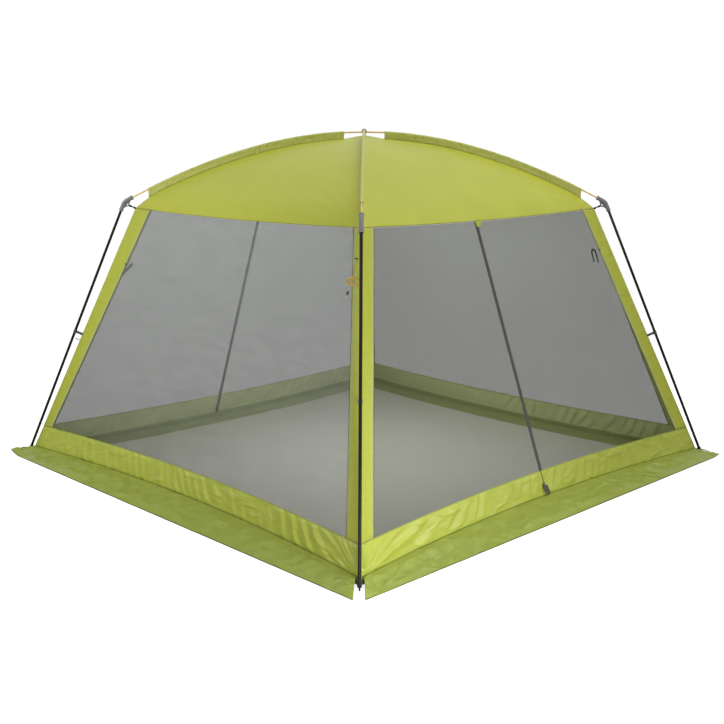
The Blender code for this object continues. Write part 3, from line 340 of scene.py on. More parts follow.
def even_path(points, step, closed=False):
    """The same route with points a step apart."""
    line = np.array([tuple(p) for p in points] + ([tuple(points[0])] if closed else []))
    marks = np.concatenate([[0.0], np.cumsum(np.linalg.norm(np.diff(line, axis=0), axis=1))])
    wanted = np.linspace(0.0, marks[-1], max(2, round(marks[-1] / step) + 1))
    even = np.column_stack([np.interp(wanted, marks, line[:, axis]) for axis in range(3)])
    return even[:-1] if closed else even


def cord_piece(name, points, radius, material, closed=False, resolution=3):
    """A round cord along points, as a mesh."""
    curve = bpy.data.curves.new(name, "CURVE")
    curve.dimensions = "3D"
    curve.bevel_depth = radius
    curve.bevel_resolution = resolution
    curve.use_fill_caps = not closed
    spline = curve.splines.new("POLY")
    spline.points.add(len(points) - 1)
    for point, place in zip(spline.points, points):
        point.co = (*place, 1.0)
    spline.use_cyclic_u = closed
    piece = bpy.data.objects.new(name, curve)
    bpy.context.scene.collection.objects.link(piece)
    nothing_selected()
    piece.select_set(True)
    bpy.context.view_layer.objects.active = piece
    bpy.ops.object.convert(target="MESH")
    bpy.ops.object.shade_smooth()
    piece.data.materials.clear()
    piece.data.materials.append(material)
    print(name, "is a cord of", len(points), "points")
    return piece


# %% [markdown]
# ## Finishes
#
# Each finish is a small node tree on the one Principled shader. The patterns read either the piece's own
# UV map, which runs in metres over a sheet of cloth, or its object coordinates. Painted images would tie
# a finish to one piece, and node trees fit them all. Three helpers keep the trees short.

# %% Node helpers
def new_finish(name, colour, roughness, metallic=0.0):
    material = bpy.data.materials.new(name)
    material.use_nodes = True
    shader = material.node_tree.nodes["Principled BSDF"]
    shader.inputs["Base Color"].default_value = (*colour, 1.0)
    shader.inputs["Roughness"].default_value = roughness
    shader.inputs["Metallic"].default_value = metallic
    return material, shader


def node(material, kind, inputs=None, **settings):
    """A node with its settings, and with its inputs set to values or joined to other nodes' outputs."""
    made = material.node_tree.nodes.new(kind)
    for key, value in settings.items():
        setattr(made, key, value)
    for key, value in (inputs or {}).items():
        if isinstance(value, bpy.types.NodeSocket):
            material.node_tree.links.new(value, made.inputs[key])
        else:
            made.inputs[key].default_value = value
    return made


def tinted(material, shader, colour, pattern, depth):
    """The colour made lighter and darker by a pattern from 0 to 1."""
    low, high = ([min(1.0, c * (1.0 + sign * depth)) for c in colour] for sign in (-1, 1))
    mix = node(material, "ShaderNodeMix", data_type="RGBA")
    mix.inputs[6].default_value = (*low, 1.0)
    mix.inputs[7].default_value = (*high, 1.0)
    material.node_tree.links.new(pattern, mix.inputs[0])
    material.node_tree.links.new(mix.outputs[2], shader.inputs["Base Color"])


# %% [markdown]
# Tent cloth is a plain weave of thin threads with a coating that gives it a dull shine. Up close the two
# sets of threads show as crossed fine waves. From a step away one sees soft creases and slight changes
# of colour, which come from two noises of different size. The large folds are left to the meshes,
# because a bump can't change an outline.
#
# The inner side has a lighter finish of its own, painted light for the light that thin cloth lets
# through.

# %% Cloth finish
WEAVE_SCALE = 260.0


def cloth_finish(name, colour, roughness=0.45, crease=0.35, stretch=(3.0, 9.0), shine=0.25):
    material, shader = new_finish(name, colour, roughness)
    shader.inputs["Sheen Weight"].default_value = 0.04
    shader.inputs["Sheen Roughness"].default_value = 0.4
    shader.inputs["Specular IOR Level"].default_value = shine
    uv = node(material, "ShaderNodeUVMap").outputs["UV"]
    waves = [node(material, "ShaderNodeTexWave", {
        "Vector": uv, "Scale": WEAVE_SCALE, "Distortion": 0.6},
        bands_direction=way).outputs["Fac"] for way in ("X", "Y")]
    weave = node(material, "ShaderNodeMath", dict(enumerate(waves)), operation="MULTIPLY").outputs[0]
    placed = node(material, "ShaderNodeMapping", {"Vector": uv, "Scale": (*stretch, 1.0),
                                                  "Rotation": (0.0, 0.0, 0.5)}).outputs["Vector"]
    folds = node(material, "ShaderNodeTexNoise", {"Vector": placed, "Scale": 2.2, "Detail": 5.0,
                                                  "Roughness": 0.55, "Distortion": 0.6}).outputs["Fac"]
    tinted(material, shader, colour, folds, 0.08)
    ridges = node(material, "ShaderNodeTexNoise", {"Vector": placed, "Scale": 1.6, "Detail": 3.0,
                                                   "Roughness": 0.5, "Distortion": 0.9},
                  noise_type="RIDGED_MULTIFRACTAL", normalize=True).outputs["Fac"]
    fine = node(material, "ShaderNodeBump", {
        "Height": weave, "Strength": 0.10, "Distance": 0.0002}).outputs[0]
    broad = node(material, "ShaderNodeBump", {
        "Height": ridges, "Normal": fine, "Strength": crease, "Distance": 0.020}).outputs[0]
    material.node_tree.links.new(broad, shader.inputs["Normal"])
    return material


roof_cloth = cloth_finish("roof_cloth", (0.505, 0.536, 0.052), crease=0.06, stretch=(1.2, 1.2))
strip_cloth = cloth_finish("strip_cloth", (0.480, 0.520, 0.055), crease=0.30)
band_cloth = cloth_finish("band_cloth", (0.470, 0.530, 0.060), roughness=0.38, crease=0.45, shine=0.40)
skirt_cloth = cloth_finish("skirt_cloth", (0.310, 0.375, 0.050), roughness=0.40, crease=0.90,
                           stretch=(3.0, 6.0), shine=0.40)
sleeve_cloth = cloth_finish("sleeve_cloth", (0.575, 0.595, 0.165), crease=0.60, stretch=(8.0, 16.0))
seam_cloth = cloth_finish("seam_cloth", (0.120, 0.140, 0.030), roughness=0.8, crease=0.1)
band_seam = cloth_finish("band_seam", (0.290, 0.330, 0.055), roughness=0.7, crease=0.1)
eave_seam = cloth_finish("eave_seam", (0.330, 0.350, 0.060), roughness=0.7, crease=0.1)
# Painted shading: the turned-in border of a strip is greyer than the strip, for the light on its fold.
strip_border_painted_shading = cloth_finish("strip_border_painted_shading", (0.470, 0.510, 0.150), roughness=0.6, crease=0.2)
# Painted light: the inner side is lighter, for the light that shines through the thin cloth.
inner_painted_light = cloth_finish("inner_painted_light", (0.640, 0.700, 0.330), roughness=0.6, crease=0.30)
print("cloth finishes:", [m.name for m in bpy.data.materials if m.name.endswith("_cloth")])

# %% [markdown]
# The walls are insect net. Its threads are far too fine to model one by one, so the net is a sheet that
# lets a fixed share of the light through. A sheet with thickness is crossed twice, once on each side.
# The threads look lighter where they catch the sky, so the colour rises with the height, and slanting
# streaks break it up.

# %% Net finish
NET_RISE = 0.30


def net_finish(name, colour, share):
    """A net whose threads cover a share of each of its two faces."""
    material, shader = new_finish(name, colour, 0.9)
    shader.inputs["Specular IOR Level"].default_value = 0.1
    shader.inputs["Alpha"].default_value = share
    uv = node(material, "ShaderNodeUVMap").outputs["UV"]
    placed = node(material, "ShaderNodeMapping", {"Vector": uv, "Scale": (1.0, 5.0, 1.0),
                                                  "Rotation": (0.0, 0.0, 0.9)}).outputs["Vector"]
    folds = node(material, "ShaderNodeTexNoise", {"Vector": placed, "Scale": 4.0, "Detail": 6.0,
                                                  "Distortion": 0.5}).outputs["Fac"]
    height = node(material, "ShaderNodeSeparateXYZ", {0: uv}).outputs["Y"]
    rise = node(material, "ShaderNodeMath", {0: height, 1: NET_RISE}, operation="MULTIPLY").outputs[0]
    shade = node(material, "ShaderNodeMath", {
        0: folds, 1: 0.5, 2: rise}, operation="MULTIPLY_ADD").outputs[0]
    tinted(material, shader, colour, shade, 0.85)
    return material


# The plain walls and the doors have the same net. Its two colours are painted light and shade: lighter on
# the plain walls, for the lamp beside the left wall, and darker on the doors, for the shade on the front
# wall.
net_mesh = net_finish("net_mesh", (0.236, 0.250, 0.241), 0.38)
door_net_painted_shade = net_finish("door_net_painted_shade", (0.058, 0.063, 0.048), 0.355)
print("net finishes:", net_mesh.name, door_net_painted_shade.name)

# %% [markdown]
# The frame's own finishes: black powder coat with a faint orange-peel on the legs, moulded plastic for
# the elbows and feet, and glass-fibre poles whose fibres show as fine streaks. They differ only in grain
# and gloss, so one function makes them all, on object coordinates.

# %% Frame finishes
def grained_finish(name, colour, roughness, metallic=0.0, scale=300.0, stretch=(1.0, 1.0, 1.0),
                   tint=0.12, bump=0.15, shine=0.5):
    material, shader = new_finish(name, colour, roughness, metallic)
    shader.inputs["Specular IOR Level"].default_value = shine
    place = node(material, "ShaderNodeTexCoord").outputs["Object"]
    placed = node(material, "ShaderNodeMapping", {"Vector": place, "Scale": stretch}).outputs["Vector"]
    grain = node(material, "ShaderNodeTexNoise", {
        "Vector": placed, "Scale": scale, "Detail": 3.0}).outputs["Fac"]
    tinted(material, shader, colour, grain, tint)
    raised = node(material, "ShaderNodeBump", {
        "Height": grain, "Strength": bump, "Distance": 0.0005}).outputs[0]
    material.node_tree.links.new(raised, shader.inputs["Normal"])
    return material


leg_steel = grained_finish("leg_steel", (0.008, 0.008, 0.005), 0.26, scale=500.0, shine=0.14)
elbow_plastic = grained_finish("elbow_plastic", (0.215, 0.208, 0.222), 0.55, scale=900.0)
black_plastic = grained_finish("black_plastic", (0.012, 0.012, 0.012), 0.50, scale=700.0, shine=0.25)
pole_fibreglass = grained_finish("pole_fibreglass", (0.84, 0.59, 0.20), 0.35, scale=60.0,
                                 stretch=(1.0, 1.0, 12.0), tint=0.18)
zip_metal = grained_finish("zip_metal", (0.09, 0.09, 0.09), 0.35, 0.8)
clip_plastic = grained_finish("clip_plastic", (0.060, 0.060, 0.048), 0.35, scale=700.0)
pull_rubber = grained_finish("pull_rubber", (0.050, 0.050, 0.044), 0.6, scale=900.0)
black_cord = grained_finish(
    "black_cord", (0.012, 0.012, 0.012), 0.7, scale=1500.0, bump=0.4, shine=0.2)
ring_plastic = grained_finish("ring_plastic", (0.030, 0.028, 0.028), 0.4)
print("frame finishes: legs", leg_steel.name, "and poles", pole_fibreglass.name)

# %% [markdown]
# The rope is braided from yellow and white strands. On a curve's UV map one direction runs along the cord
# and the other round it, so a checker over both directions gives the braid without modelling a strand.

# %% Rope finish
YELLOW_STRAND, WHITE_STRAND = (0.74, 0.47, 0.02, 1.0), (0.88, 0.78, 0.36, 1.0)

rope_braid, rope_shader = new_finish("rope_braid", YELLOW_STRAND[:3], 0.8)
braid_uv = node(rope_braid, "ShaderNodeUVMap").outputs["UV"]
braid = node(rope_braid, "ShaderNodeMapping", {
    "Vector": braid_uv, "Scale": (330.0, 2.0, 1.0)}).outputs["Vector"]
strands = node(rope_braid, "ShaderNodeTexChecker", {
    "Vector": braid, "Scale": 2.0, "Color1": YELLOW_STRAND, "Color2": WHITE_STRAND})
rope_braid.node_tree.links.new(strands.outputs["Color"], rope_shader.inputs["Base Color"])

# %% [markdown]
# The rope itself, as one cord that follows the route, with its points an even step apart.

# %% Guy rope
rope_path = even_path(rope_points(), 0.0022)
guy_rope = cord_piece("guy_rope_hank", rope_path, ROPE_RADIUS, rope_braid, resolution=2)
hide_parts("guy_rope")
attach(guy_rope, "shelter")

# %% [markdown]
# ## Sewing a sheet
#
# Every cloth piece starts as a grid. A function lays its points on the tent's shape, and another lifts
# them into wrinkles along the surface's own direction. A cloth simulation could do both, but it would
# not hit the seams, and it costs minutes for each sheet. The UV map is kept in metres, so that the weave
# has one size on all pieces.

# %% Sheets from a grid
def split_along(mesh, marked):
    """Splits each four-sided face that has two opposite corners marked, so that a fold can run there."""
    shape = bmesh.new()
    shape.from_mesh(mesh)
    for face in list(shape.faces):
        ends = [vertex for vertex in face.verts if marked[vertex.index]]
        if len(ends) == 2:
            bmesh.ops.connect_verts(shape, verts=ends)
    shape.to_mesh(mesh)
    shape.free()


def grid_sheet(name, columns, rows, place, wrinkle):
    """A grid that place(across, up) lays and wrinkle(across, up, point) lifts by metres."""
    nothing_selected()
    bpy.ops.mesh.primitive_grid_add(x_subdivisions=columns, y_subdivisions=rows, size=1.0, calc_uvs=True)
    sheet = bpy.context.object
    sheet.name = name
    mesh = sheet.data
    shares = [(v.co.x + 0.5, v.co.y + 0.5) for v in mesh.vertices]
    for vertex, (across, up) in zip(mesh.vertices, shares):
        vertex.co = place(across, up)
    mesh.update()
    if wrinkle:
        normals = [n.vector.copy() for n in mesh.vertex_normals]
        for vertex, normal, (across, up) in zip(mesh.vertices, normals, shares):
            vertex.co += normal * wrinkle(across, up, vertex.co)
        mesh.update()
    return sheet, shares


# %% [markdown]
# A hem or a seam is a narrow strip of another colour along an edge. It could be a piece of its own, laid
# over the cloth, but then it would have to follow every wrinkle. So it is a row of the sheet's own faces
# with its own finish.
#
# The solidify modifier then gives the cloth its thickness on the inner side. The flat size that a sewer
# would cut is given with each sheet, and it scales the sheet's UV map.

# %% Hems and thickness
def give_hems(mesh, shares, hems):
    """A finish for each face whose middle passes a hem's test."""
    for number, (finish, reaches) in enumerate(hems, 1):
        mesh.materials.append(finish)
        for face in mesh.polygons:
            places = [Vector(shares[v]) for v in face.vertices]
            middle = sum(places, Vector((0, 0))) / len(places)
            if reaches(middle.x, middle.y):
                face.material_index = number


def thicken(sheet, thickness, inner, hems):
    wall = sheet.modifiers.new("thickness", "SOLIDIFY")
    wall.thickness = thickness
    wall.offset = -1.0
    if inner:
        wall.material_offset = len(sheet.data.materials)
        for finish in [inner] + [finish for finish, reaches in hems]:
            sheet.data.materials.append(finish)
    bpy.ops.object.modifier_apply(modifier="thickness")


def cloth_piece(name, columns, rows, place, material, replaced, size, wrinkle=None,
                body="shelter", turn=Matrix(), hems=(), closed=False, thickness=CLOTH,
                inner=None, creased=None):
    """A sewn sheet. hems lists other finishes with a test each, inner is the finish of the inner side,
    creased marks the points of a fold, and closed merges the first and last column."""
    sheet, shares = grid_sheet(name, columns, rows, place, wrinkle)
    mesh = sheet.data
    for loop in mesh.uv_layers.active.data:
        loop.uv = (loop.uv[0] * size[0], loop.uv[1] * size[1])
    mesh.materials.append(material)
    give_hems(mesh, shares, hems)
    if creased:
        split_along(mesh, [creased(*share) for share in shares])
    mesh.transform(turn)
    if closed:
        bpy.ops.object.mode_set(mode="EDIT")
        bpy.ops.mesh.select_all(action="SELECT")
        bpy.ops.mesh.remove_doubles(threshold=0.00002)
        bpy.ops.object.mode_set(mode="OBJECT")
    bpy.ops.object.shade_smooth()
    thicken(sheet, thickness, inner, hems)
    if replaced:
        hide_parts(replaced)
    if body:
        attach(sheet, body)
    return sheet


# %% [markdown]
# Wrinkles in thin cloth are sharp along their crests and die out at both ends. They could be sculpted,
# but then each would have to be drawn. Here a sine gives the spacing, a noise breaks it up, and the crest
# is sharpened. They lean along the pull in the cloth.

# %% Wrinkles
def leaned(x, y, lean):
    """Distances across and along a row of folds that leans by an angle from upright."""
    return (x * math.cos(lean) + y * math.sin(lean), y * math.cos(lean) - x * math.sin(lean))


def crest(turns):
    """A row of rounded ridges from 0 to 1, one for each turn."""
    return (0.5 + 0.5 * math.cos(2 * math.pi * turns)) ** 1.6


def creases(x, y, lean, spacing, seed, length=0.35):
    """Broken ridges that lean by an angle from upright, in metres of x and y, from 0 to 1."""
    across, down = leaned(x, y, lean)
    wander = noise.noise(Vector((across * 4.0, down * 3.0, seed)))
    presence = noise.noise(Vector((across * 0.8 / spacing, down / length, seed + 5.3)))
    return crest(across / spacing + 0.9 * wander) * max(0.0, presence + 0.35)


def fold(turns, steep=0.22):
    """A row of pleats from 0 to 1: a broad rise and a short fall for each turn."""
    share = turns % 1.0
    part = share / (1.0 - steep) if share < 1.0 - steep else (1.0 - share) / steep
    return part * part * (3 - 2 * part)


def pleats(x, y, lean, spacing, seed, length=0.35):
    """Broken pleats that lean by an angle from upright, as creases do."""
    across, down = leaned(x, y, lean)
    wander = noise.noise(Vector((across * 2.5, down * 2.0, seed)))
    presence = noise.noise(Vector((across * 0.6 / spacing, down / length, seed + 5.3)))
    return fold(across / spacing + 1.3 * wander) * min(1.0, max(0.0, presence + 0.60))


def rumple(x, y, scale, seed):
    """Soft uneven dents between -1 and 1."""
    return noise.fractal(Vector((x * scale, y * scale, seed)), 1.0, 2.0, 3)


def crumple(x, y, scale, seed):
    """A net of sharp ridges that run in all directions, from 0 to 1, as in crushed cloth."""
    return max(0.0, 1.0 - 3.0 * abs(noise.noise(Vector((x * scale, y * scale, seed)))))


def inside(share, margin):
    """0 at the edges of a sheet, 1 at more than a margin inside, for a share from 0 to 1."""
    edge = min(share, 1.0 - share) / margin
    return 1.0 if edge >= 1.0 else edge * edge * (3 - 2 * edge)


# %% [markdown]
# ## Roof
#
# The roof is one sheet of four gores. It is tight over the poles and sags a little between them. Four
# sewn triangles would be closer to the real thing, but one grid has no open seams. Its faces are split
# along the diagonals instead, so that the folds there are straight.
#
# The eave is hemmed with a dark seam, so the outermost row of the grid is narrow and gets its finish.

# %% Roof canopy
ROOF_CELLS = 120
SEAM_WIDTH = 0.0035


def roof_line(share):
    """A place along the roof's width whose outermost cells are as wide as the hem."""
    cell = share * ROOF_CELLS
    if cell < 1 or cell > ROOF_CELLS - 1:
        edge = min(cell, ROOF_CELLS - cell) * SEAM_WIDTH
        return math.copysign(EAVE_HALF - edge, share - 0.5)
    return (cell - ROOF_CELLS / 2) / (ROOF_CELLS / 2 - 1) * (EAVE_HALF - SEAM_WIDTH)


def roof_place(across, up):
    x, y = roof_line(across), roof_line(up)
    near, far = sorted((abs(x), abs(y)))
    share = near / far if far > 1e-6 else 1.0
    sag = EAVE_SAG * (1.0 - share ** 2) * (far / EAVE_HALF) ** 4
    return Vector((x, y, roof_height(far * ROOT2) - sag))


def roof_wrinkle(across, up, point):
    near, far = sorted((abs(point.x), abs(point.y)))
    corner = (near + far) / (2 * EAVE_HALF)
    pull = max(0.0, corner - 0.55) / 0.45
    fan = math.atan2(EAVE_HALF * 1.02 - near, EAVE_HALF * 1.02 - far) if pull else 0.0
    lift = 0.013 * pull * crest(fan * 7.0) * inside(across, 0.02) * inside(up, 0.02)
    lift += 0.003 * rumple(point.x, point.y, 1.6, 3.0) * inside(across, 0.05) * inside(up, 0.05)
    return lift * min(1.0, (far - near) / 0.10)


cloth_piece(
    "roof_canopy_cloth", ROOF_CELLS, ROOF_CELLS, roof_place, roof_cloth, "roof_canopy", (2.62, 2.62),
    wrinkle=roof_wrinkle, inner=inner_painted_light,
    hems=[(eave_seam, lambda a, u: min(a, u, 1 - a, 1 - u) < 1 / ROOF_CELLS)],
    creased=lambda a, u: min(abs(a - u), abs(a + u - 1)) < 0.1 / ROOF_CELLS)

# %% [markdown]
# Each pole slides into a tunnel of cloth that is sewn to the roof's diagonal seam. The tunnel hugs the
# pole, comes together below it and crinkles along its length, because the pole is bent and the cloth
# isn't. It could be swept along a curve, but as a grid it can narrow to a web at its foot.

# %% Pole sleeves
SLEEVE_RADIUS = 0.0098
SLEEVE_FOOT = 0.0040
RING_POINTS, WEB_POINTS = 12, 5
SLEEVE_COLUMNS = RING_POINTS + 1 + 2 * WEB_POINTS


def sleeve_place(level):
    def ring(reach, turn):
        angle = math.radians(90 + 205 * (turn / RING_POINTS - 0.5))
        pucker = 0.0018 * noise.noise(Vector((reach * 38 + angle * 2.2, angle * 1.5, level)))
        outward = Vector((0.0, math.cos(angle), math.sin(angle)))
        return pole_point(reach, level) + (SLEEVE_RADIUS - 0.0006 + pucker) * outward

    def place(around, along):
        reach = between(SLEEVE_START, SLEEVE_END, along)
        turn = round(around * SLEEVE_COLUMNS) % SLEEVE_COLUMNS
        if turn <= RING_POINTS:
            return ring(reach, turn)
        first = turn <= RING_POINTS + WEB_POINTS
        share = (turn - RING_POINTS if first else SLEEVE_COLUMNS - turn) / WEB_POINTS
        top = ring(reach, RING_POINTS if first else 0)
        side = -1 if first else 1
        pucker = 0.0055 * noise.noise(Vector((reach * 26, share * 1.5, level + side)))
        aside = between(side * SLEEVE_FOOT / 2, top.y, (1 - share) ** 2)
        return Vector((reach, aside + pucker * share * (1 - share) * 4,
                       between(top.z, roof_height(reach) - 0.0004, share)))
    return place


for number, corner in enumerate(CORNERS):
    level = 1.0 if number % 2 == 0 else -1.0
    cloth_piece(f"pole_sleeve_cloth_{corner}", SLEEVE_COLUMNS, 160, sleeve_place(level), sleeve_cloth,
                f"pole_sleeve_{corner}", (0.145, 1.42), turn=CORNER_TURNS[number], closed=True)

# %% [markdown]
# ## Walls
#
# A wall is a net in a frame of cloth: the roof above, a strip round each corner seam and a band at the
# foot. The rows of each sheet run from its foot to the eave, which sags a little in the middle. The edge
# lines lean, and their lean depends on the height, so a point is found in a few rounds.

# %% Rows of a wall
EAVE_SETBACK = SHEET * 0.7 + 2 * SEAM_GAP
WALL_SETBACK = 0.0004


def wall_row(left, right, foot, top, share, up):
    """Along and height of a point between two edge lines, up to the eave if top is None."""
    height = between(foot, EAVE_HEIGHT if top is None else top, up)
    along = between(left(height), right(height), share)
    for _ in range(3):
        roof = eave_height(along) - EAVE_SETBACK if top is None else top
        height = between(foot, roof, up)
        along = between(left(height), right(height), share)
    return along, height


def wall_place(left, right, foot, top):
    return lambda share, up: front_point(*wall_row(left, right, foot, top, share, up))


print("the walls' nets end", round(EAVE_SETBACK * 1000, 2), "mm below the roof")

# %% [markdown]
# The nets of the two plain walls. Each hangs in long shallow billows, so a coarse grid is enough.

# %% Plain net walls
def net_wrinkle(seed):
    """Long shallow billows, from the pull between the corners."""
    def lift(across, up, point):
        soft = 0.004 * rumple(point.x, point.z, 1.1, seed)
        pull = 0.0025 * creases(point.x, point.z, 0.6, 0.22, seed, length=0.9)
        return (soft + pull) * inside(across, 0.12) * inside(up, 0.12) - WALL_SETBACK
    return lift


for k, side in PLAIN_WALLS:
    cloth_piece(
        f"net_cloth_{side}", 70, 56,
        wall_place(strip_edge(side, -1), strip_edge(side, 1), BAND_TOP + SEAM_GAP, None),
        net_mesh, f"net_{side}", (2.95, 1.70), wrinkle=net_wrinkle(k), turn=WALL_TURNS[k])

# %% [markdown]
# The bands below the nets take the pull from the pegged corners. Their wrinkles run up from the corners
# in fans, sharp and close together there and wider apart towards the middle of the wall. A bump map could
# draw them, but they are deep enough to change the light, so they are real folds in a fine grid.

# %% Wrinkles of a band
def fan_wrinkle(along, rise, seed, reach=0.46):
    """Ridges that spread from a corner, where along and rise are measured from it."""
    distance = math.hypot(along, rise)
    angle = math.atan2(rise + 0.01, along + 0.015)
    strength = math.exp(-(distance / reach) ** 4) * min(1.0, distance / 0.06)
    wander = noise.noise(Vector((distance * 4.0, angle * 1.5, seed)))
    return strength * crest(angle * 5.0 + 0.35 * wander)


def band_wrinkle(seed, near=0, fan=0.0, near_pleats=0.5, far_pleats=0.5, zip_end=None):
    """A fan at the end that the pegged corner pulls, pleats that lean to it, and nothing at the seams."""
    def lift(across, up, point):
        half = wall_half(point.z)
        rise = point.z - BAND_FOOT
        away = half - near * point.x
        share = min(1.0, away / 2.6) if near else 1.0
        value = 0.0130 * fan * fan_wrinkle(away, rise, seed) if fan else 0.0
        lean = near * between(0.75, 0.25, share) if near else 0.5
        free = 1.0 - fan * math.exp(-(away / 0.40) ** 4)
        value += 0.0150 * between(near_pleats, far_pleats, share) * free * pleats(
            point.x, rise, lean, 0.085, seed, length=0.30)
        value += 0.0045 * rumple(point.x, rise, 6.0, seed)
        calm = 1.0 if zip_end is None else min(1.0, abs(across - zip_end) / 0.03)
        return value * inside(up, 0.16) * calm - WALL_SETBACK
    return lift


# %% [markdown]
# A band's lowest and highest rows are as narrow as its seams, and the rows between share the rest. The
# two plain bands come first. Only the left one is pulled by a pegged corner.

# %% Plain bands
BAND_ROWS = 20
BAND_SEAM = 0.0055
BAND_END_GAP = 0.0030


def band_edge(hand):
    return lambda height: hand * (wall_half(height) - BAND_END_GAP)


def band_place(left, right):
    tall = BAND_TOP - SEAM_GAP - BAND_FOOT

    def place(share, up):
        cell = up * BAND_ROWS
        rise = between(BAND_SEAM, tall - BAND_SEAM, (cell - 1) / (BAND_ROWS - 2))
        rise = min(max(rise, cell * BAND_SEAM), tall - (BAND_ROWS - cell) * BAND_SEAM)
        return front_point(*wall_row(left, right, BAND_FOOT, BAND_TOP - SEAM_GAP, share, rise / tall))
    return place


def on_band_seam(across, up):
    return abs(up - 0.5) > 0.5 - 1 / BAND_ROWS


BAND_PULLS = {"right": (0, 0.0), "left": (1, 0.45, 1.1, 0.6), "front": (-1, 1.0, 0.45, 0.25),
              "back": (0, 0.0)}
for k, side in PLAIN_WALLS:
    cloth_piece(
        f"band_cloth_{side}", 480, BAND_ROWS, band_place(band_edge(-1), band_edge(1)), band_cloth,
        f"band_{side}", (3.42, 0.168), wrinkle=band_wrinkle(10.0 + k, *BAND_PULLS[side]),
        turn=WALL_TURNS[k], inner=inner_painted_light, hems=[(band_seam, on_band_seam)])

# %% [markdown]
# A strip of cloth wraps each corner seam and tapers upwards. Its inner edges carry a dark seam where the
# net is sewn on, so the outer columns of the grid are made narrow for it. Two strips with a seam between
# them would be as good, but one sheet that is folded at the corner can't gape.

# %% Corner strips
STRIP_COLUMNS = 28
STRIP_SEAM = 0.0055
STRIP_BORDER = 0.022
CORNER_BACK = Matrix.Rotation(math.radians(-45), 4, "Z")


def strip_place(sides):
    """Out from the corner seam: cloth, then two columns of turned-in border with painted shading, then
    one of seam.
    """
    cells = STRIP_COLUMNS // 2

    def place(across, up):
        hand = 1 if across < 0.5 else -1
        share = abs(across - 0.5) * 2
        roof = EAVE_HEIGHT
        for _ in range(3):
            height = between(BAND_TOP + SEAM_GAP, roof - EAVE_SETBACK, up)
            width = strip_width(sides[hand], hand, height)
            along = wall_half(height) - float(np.interp(
                share * cells, (0, cells - 3, cells - 1, cells),
                (0.0, width - STRIP_SEAM - STRIP_BORDER, width - STRIP_SEAM, width)))
            roof = eave_height(along)
        distance = wall_distance(along, height)
        point = (distance, along, height) if hand > 0 else (along, distance, height)
        return CORNER_BACK @ Vector(point)
    return place


def strip_wrinkle(seed):
    """Long folds that run up the strip, and creases that leave the corner seam for the net."""
    def lift(across, up, point):
        away = (across - 0.5) * 0.3
        value = 0.0060 * pleats(away, point.z, 0.10 if away > 0 else -0.10, 0.070, seed, length=0.60)
        value += 0.0030 * creases(abs(away), point.z, 1.15, 0.080, seed, length=0.16)
        value += 0.0020 * rumple(away * 3, point.z, 5.0, seed)
        calm = inside(across, 0.10) * min(1.0, abs(across - 0.5) * 14) * inside(up, 0.03)
        return value * calm - WALL_SETBACK
    return lift


for number, corner in enumerate(CORNERS):
    sides = {1: SIDES[number - 1], -1: SIDES[number]}
    cloth_piece(
        f"corner_strip_cloth_{corner}", STRIP_COLUMNS, 150, strip_place(sides), strip_cloth,
        f"corner_strip_{corner}", (0.36, 1.70), wrinkle=strip_wrinkle(20.0 + number),
        turn=CORNER_TURNS[number], inner=inner_painted_light,
        hems=[(strip_border_painted_shading, lambda a, u: abs(a - 0.5) > 0.5 - 3 / STRIP_COLUMNS),
              (seam_cloth, lambda a, u: abs(a - 0.5) > 0.5 - 1 / STRIP_COLUMNS)])

# %% [markdown]
# The ground skirt is sewn to the foot of the band and lies flat to keep insects out. It was folded for
# storage, so it is the most crumpled piece of all: dents, crossing ridges and pleats are added up. The
# ridges only rise, because the ground is right below. Two of its tips curl up a little.

# %% Ground skirts
SKIRT_HALF = WALL_GROUND_HALF + 0.127
SKIRT_TIP = SKIRT_HALF - 0.045
SKIRT_CUT = 0.029
SKIRT_CURL = 2.4
SKIRT_ROWS = 18
SKIRT_HEM = 0.004
SKIRT_LAP = 0.0016
TIP_SHARE = 0.07
TIP_LIFTS = {"left": (0.030, 0.0), "front": (0.0, 0.014)}


def skirt_place(left_lift, right_lift):
    """Tucked behind the foot of the band, with its tips lifted. The outermost row is the hem."""
    hem = SKIRT_HEM / (SKIRT_HALF - wall_half(BAND_FOOT))
    foot = BAND_FOOT + 0.002

    def place(across, up):
        share = 2 * across - 1
        cell = (1 - up) * SKIRT_ROWS
        out = 1.0 if cell > SKIRT_ROWS - 0.5 else cell / (SKIRT_ROWS - 1) * (1 - hem)
        inner, outer = share * (wall_half(BAND_FOOT) - SKIRT_CUT), share * SKIRT_TIP
        start = wall_distance(inner, BAND_FOOT) - SKIRT_LAP
        curl = SKIRT_CURL + 1.2 * noise.noise(Vector((share * 2.6, 7.0, 1.0)))
        height = SHEET + (foot - SHEET) * (1 - out) ** curl
        raised = right_lift if share > 0 else left_lift
        lift = raised * max(0.0, (abs(share) - 1 + TIP_SHARE) / TIP_SHARE) ** 2 * out ** 0.5
        return Vector((between(inner, outer, out), -between(start, SKIRT_HALF, out), height + lift))
    return place


def skirt_wrinkle(seed):
    def lift(across, up, point):
        value = 0.012 * max(0.0, rumple(point.x, point.y, 4.0, seed))
        value += 0.014 * crumple(point.x, point.y, 4.5, seed + 1)
        value += 0.007 * crumple(point.x, point.y, 10.0, seed + 4)
        value += 0.008 * pleats(point.x, up * 0.12, 0.8, 0.16, seed, length=0.15)
        edge = 0.05 + 0.95 * min(1.0, up / 0.30)
        return value * edge * inside(0.5 + up / 2, 0.14)
    return lift


for k, side in enumerate(SIDES):
    cloth_piece(
        f"skirt_cloth_{side}", 360, SKIRT_ROWS, skirt_place(*TIP_LIFTS.get(side, (0.0, 0.0))),
        skirt_cloth, f"skirt_{side}", (3.66, 0.215), wrinkle=skirt_wrinkle(30.0 + k),
        turn=WALL_TURNS[k], hems=[(seam_cloth, lambda a, u: u < 1 / SKIRT_ROWS)])

